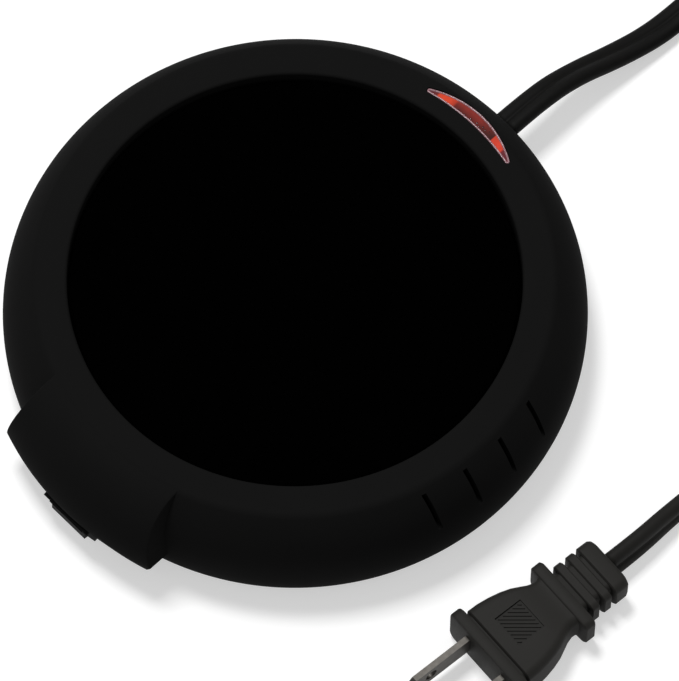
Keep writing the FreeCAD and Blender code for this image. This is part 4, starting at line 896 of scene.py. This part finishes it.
# The wires are stranded copper in black and white insulation, joined by nylon crimps.
# The lamp's resistor has a coat of tan lacquer.
dress_soft("resistor_lacquer", (0.55, 0.42, 0.25), 0.4, 900.0, "lamp_resistor")
dress_soft("nylon", (0.7, 0.7, 0.66), 0.45, 700.0, "crimp_connectors")
dress_soft("wire_black", (0.012, 0.012, 0.012), 0.4, 900.0, "wire_live", "wire_switched", "wire_fuse")
dress_soft(
    "wire_white", (0.7, 0.69, 0.64), 0.4, 900.0,
    "wire_neutral", "wire_heater", "wire_return", "lamp_leads",
)

# The four feet are discs of matt black rubber, stuck into the seats in the base.
# They are the only pieces that touch the table, apart from the cord and the plug.
dress_soft(
    "foot_rubber", (0.012, 0.012, 0.012), 0.8, 1200.0,
    "rubber_foot_1", "rubber_foot_2", "rubber_foot_3", "rubber_foot_4",
)

# The plug's two flat blades are nickel-plated brass, dulled by use, each with a hole near its tip.
# The plug is moulded round them.
dress_metal("blade_nickel", (0.085, 0.080, 0.073), 0.5, "plug_blade_1", "plug_blade_2")

# The plug is the same soft vinyl as the cord, moulded round the blades in one shot: a broad flange,
# a waisted body with a ribbed recess on top, two ears, and a ribbed strain relief round the cord.
PLUG_AT = Vector((95.1, -29.8, 6.6))
PLUG_HEADING = math.radians(85.5)
PLUG_CORNER_STEPS = 6
PLUG_STATIONS = (  # way along it, half width, half height and corner radius
    (0.0, 12.6, 6.2, 1.9), (0.12, 12.85, 6.45, 2.1), (0.45, 13.0, 6.6, 2.2), (2.55, 13.0, 6.6, 2.2),
    (2.88, 12.85, 6.45, 2.1), (3.0, 12.6, 6.2, 1.9), (3.05, 10.7, 5.0, 1.9), (3.75, 10.7, 5.0, 1.9),
    (3.9, 11.15, 5.45, 2.1), (4.2, 11.4, 5.7, 2.2), (7.0, 11.35, 5.72, 2.2), (10.0, 10.95, 5.7, 2.2),
    (13.0, 10.3, 5.68, 2.2), (15.5, 9.5, 5.6, 2.2), (17.6, 8.5, 5.4, 2.2), (19.2, 7.75, 5.1, 2.2),
    (20.8, 7.3, 4.8, 2.1), (21.9, 7.35, 4.7, 2.0), (22.45, 7.7, 4.72, 1.9), (22.6, 9.9, 4.85, 1.6),
    (22.9, 10.3, 5.0, 1.7), (25.3, 10.3, 5.0, 1.7), (25.6, 9.9, 4.85, 1.6), (25.7, 5.7, 3.95, 1.6),
    (27.0, 5.6, 3.9, 1.6), (27.1, 7.1, 4.2, 1.6), (27.35, 7.4, 4.4, 1.7), (29.15, 7.4, 4.4, 1.7),
    (29.4, 7.1, 4.2, 1.6), (29.5, 5.6, 3.9, 1.6), (30.7, 5.6, 3.9, 1.6), (30.8, 7.1, 4.2, 1.6),
    (31.05, 7.4, 4.4, 1.7), (32.85, 7.4, 4.4, 1.7), (33.1, 7.1, 4.2, 1.6), (33.2, 5.6, 3.9, 1.6),
    (34.1, 5.6, 3.9, 1.6), (34.2, 7.1, 4.2, 1.7), (34.5, 7.5, 4.5, 1.9), (37.6, 7.5, 4.5, 2.1),
    (38.3, 7.1, 4.3, 2.1), (38.6, 6.4, 3.9, 1.9),
)


def in_plug(x, y, z):
    """From the plug's own frame, x towards the cord and z up, to the shared frame."""
    c = math.cos(PLUG_HEADING)
    s = math.sin(PLUG_HEADING)
    return PLUG_AT.x + x * c - y * s, PLUG_AT.y + x * s + y * c, PLUG_AT.z + z


def rounded_ring(half, high, corner):
    """A rounded rectangle's points (across, up), the same number for every size."""
    points = []
    for i, (sx, sy) in enumerate(((1, 1), (-1, 1), (-1, -1), (1, -1))):
        x = sx * (half - corner)
        y = sy * (high - corner)
        points += round_over(x, y, corner, 90.0 * i, 90.0 * i + 90.0, PLUG_CORNER_STEPS)
    return points


plug_shape = bmesh.new()
loops = []
for x, half, high, corner in PLUG_STATIONS:
    ring = rounded_ring(half, high, corner)
    loops.append([plug_shape.verts.new(Vector(in_plug(x, y, z)) * MM) for y, z in ring])
for one, two in zip(loops, loops[1:]):
    bridge(plug_shape, one, two)
plug_shape.faces.new(loops[0])
plug_shape.faces.new(loops[-1])
plug = new_piece("plug_moulding", plug_shape)

# The grip: a shallow recess with slanting ridges that end just short of its sides.
GRIP_X = (7.3, 15.2)
GRIP_Y = (-3.6, 5.3)
GRIP_FLOOR = 5.22
GRIP_CUT_TOP = 8.0
GRIP_SLANT = math.radians(-39.6)
RIDGE_PITCH = 0.95
RIDGES_EACH_WAY = 6
RIDGE_SHORT = 0.5
RIDGE_LEAST = 1.0
RIDGE_FOOT_HALF = 0.28
RIDGE_TOP_HALF = 0.12
RIDGE_LOW = GRIP_FLOOR - 0.1
RIDGE_HIGH = GRIP_FLOOR + 0.3
RIDGE_SECTION = (
    (-RIDGE_FOOT_HALF, RIDGE_LOW),
    (-RIDGE_TOP_HALF, RIDGE_HIGH),
    (RIDGE_TOP_HALF, RIDGE_HIGH),
    (RIDGE_FOOT_HALF, RIDGE_LOW),
)
combine(plug, prism("grip", rectangle(*GRIP_X, *GRIP_Y), GRIP_FLOOR, GRIP_CUT_TOP, in_plug), "DIFFERENCE")
step = (math.cos(GRIP_SLANT), math.sin(GRIP_SLANT))
across = (-step[1], step[0])
middle = (sum(GRIP_X) / 2, sum(GRIP_Y) / 2)


def ridge_run(start, way):
    """How far a ridge runs from its start, forward or back, before it nears a side of the recess."""
    runs = []
    for axis, (low, high) in enumerate((GRIP_X, GRIP_Y)):
        speed = way * step[axis]
        edge = high - RIDGE_SHORT if speed > 0 else low + RIDGE_SHORT
        runs.append((edge - start[axis]) / speed)
    return min(runs)


ridges = bmesh.new()
for i in range(-RIDGES_EACH_WAY, RIDGES_EACH_WAY + 1):
    start = (middle[0] + across[0] * i * RIDGE_PITCH, middle[1] + across[1] * i * RIDGE_PITCH)
    ahead = ridge_run(start, 1)
    behind = ridge_run(start, -1)
    if ahead + behind < RIDGE_LEAST:
        continue
    ends = []
    for t in (ahead, -behind):
        x = start[0] + step[0] * t
        y = start[1] + step[1] * t
        spots = [in_plug(x + across[0] * side, y + across[1] * side, z) for side, z in RIDGE_SECTION]
        ends.append([ridges.verts.new(Vector(spot) * MM) for spot in spots])
    bridge(ridges, ends[0], ends[1])
    ridges.faces.new(ends[0])
    ridges.faces.new(ends[1])
ridge_piece = new_piece("grip_ridges", ridges)
bpy.ops.object.select_all(action="DESELECT")
ridge_piece.select_set(True)
plug.select_set(True)
bpy.context.view_layer.objects.active = plug
bpy.ops.object.join()
smooth(plug, 38.0)
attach(plug, "housing")
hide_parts("plug_body")

PLUG_DARK = (0.0175, 0.0168, 0.0152)
PLUG_LIGHT = (0.0225, 0.0217, 0.0200)
plug_vinyl, tree, shader = node_material("plug_vinyl", PLUG_DARK, roughness=0.62, specular=0.12)
grain = add_noise(tree, scale=1400.0)
tint(tree, grain, PLUG_DARK, PLUG_LIGHT, shader)
vary_gloss(tree, grain, 0.55, 0.7, shader)
add_bump(tree, grain, 0.00003, shader)
plug.data.materials.append(plug_vinyl)

# The stage is a plain pale table under an even white sky. The table glows a little for the camera and
# in reflections, so that it comes out white, and not for other light, so that it keeps its shadows.
FLOOR_HALF = 6.0
FLOOR_PALE = (0.62, 0.62, 0.62)
FLOOR_LIFT = 0.5
SKY_STRENGTH = 0.34
WHITE = (1.0, 1.0, 1.0, 1.0)
bpy.ops.object.select_all(action="DESELECT")
bpy.ops.mesh.primitive_plane_add(size=2 * FLOOR_HALF, location=(0.05, 0.05, 0.0))
floor = bpy.context.object
floor.name = "floor"
table_white, tree, shader = node_material("table_white", FLOOR_PALE, roughness=0.9, specular=0.0)
rays = tree.nodes.new("ShaderNodeLightPath").outputs
seen = worked_out(tree, "MAXIMUM", rays["Is Camera Ray"], rays["Is Transmission Ray"])
either = worked_out(tree, "MAXIMUM", seen, rays["Is Glossy Ray"])
shader.inputs["Emission Color"].default_value = WHITE
tree.links.new(worked_out(tree, "MULTIPLY", either, FLOOR_LIFT), shader.inputs["Emission Strength"])
floor.data.materials.append(table_white)

world = bpy.data.worlds.new("studio")
bpy.context.scene.world = world
world.use_nodes = True
sky = world.node_tree.nodes["Background"]
sky.inputs["Color"].default_value = WHITE
sky.inputs["Strength"].default_value = SKY_STRENGTH

# One square soft lamp stands high on the left, and throws the shadow to the lower right of the picture.
LAMP_AZIMUTH = math.radians(258.0)
LAMP_ELEVATION = math.radians(72.0)
LAMP_DISTANCE = 1.6
LAMP_SIZE = 0.4
LAMP_POWER = 18.0
key_data = bpy.data.lights.new("key", "AREA")
key_data.size = LAMP_SIZE
key_data.energy = LAMP_POWER
key = bpy.data.objects.new("key", key_data)
bpy.context.collection.objects.link(key)
lamp_way = bearing(LAMP_AZIMUTH, LAMP_ELEVATION)
key.location = BODY_MIDDLE + lamp_way * LAMP_DISTANCE
key.rotation_mode = "QUATERNION"
key.rotation_quaternion = (-lamp_way).to_track_quat("-Z", "Y")

bpy.context.scene.view_settings.view_transform = "Standard"
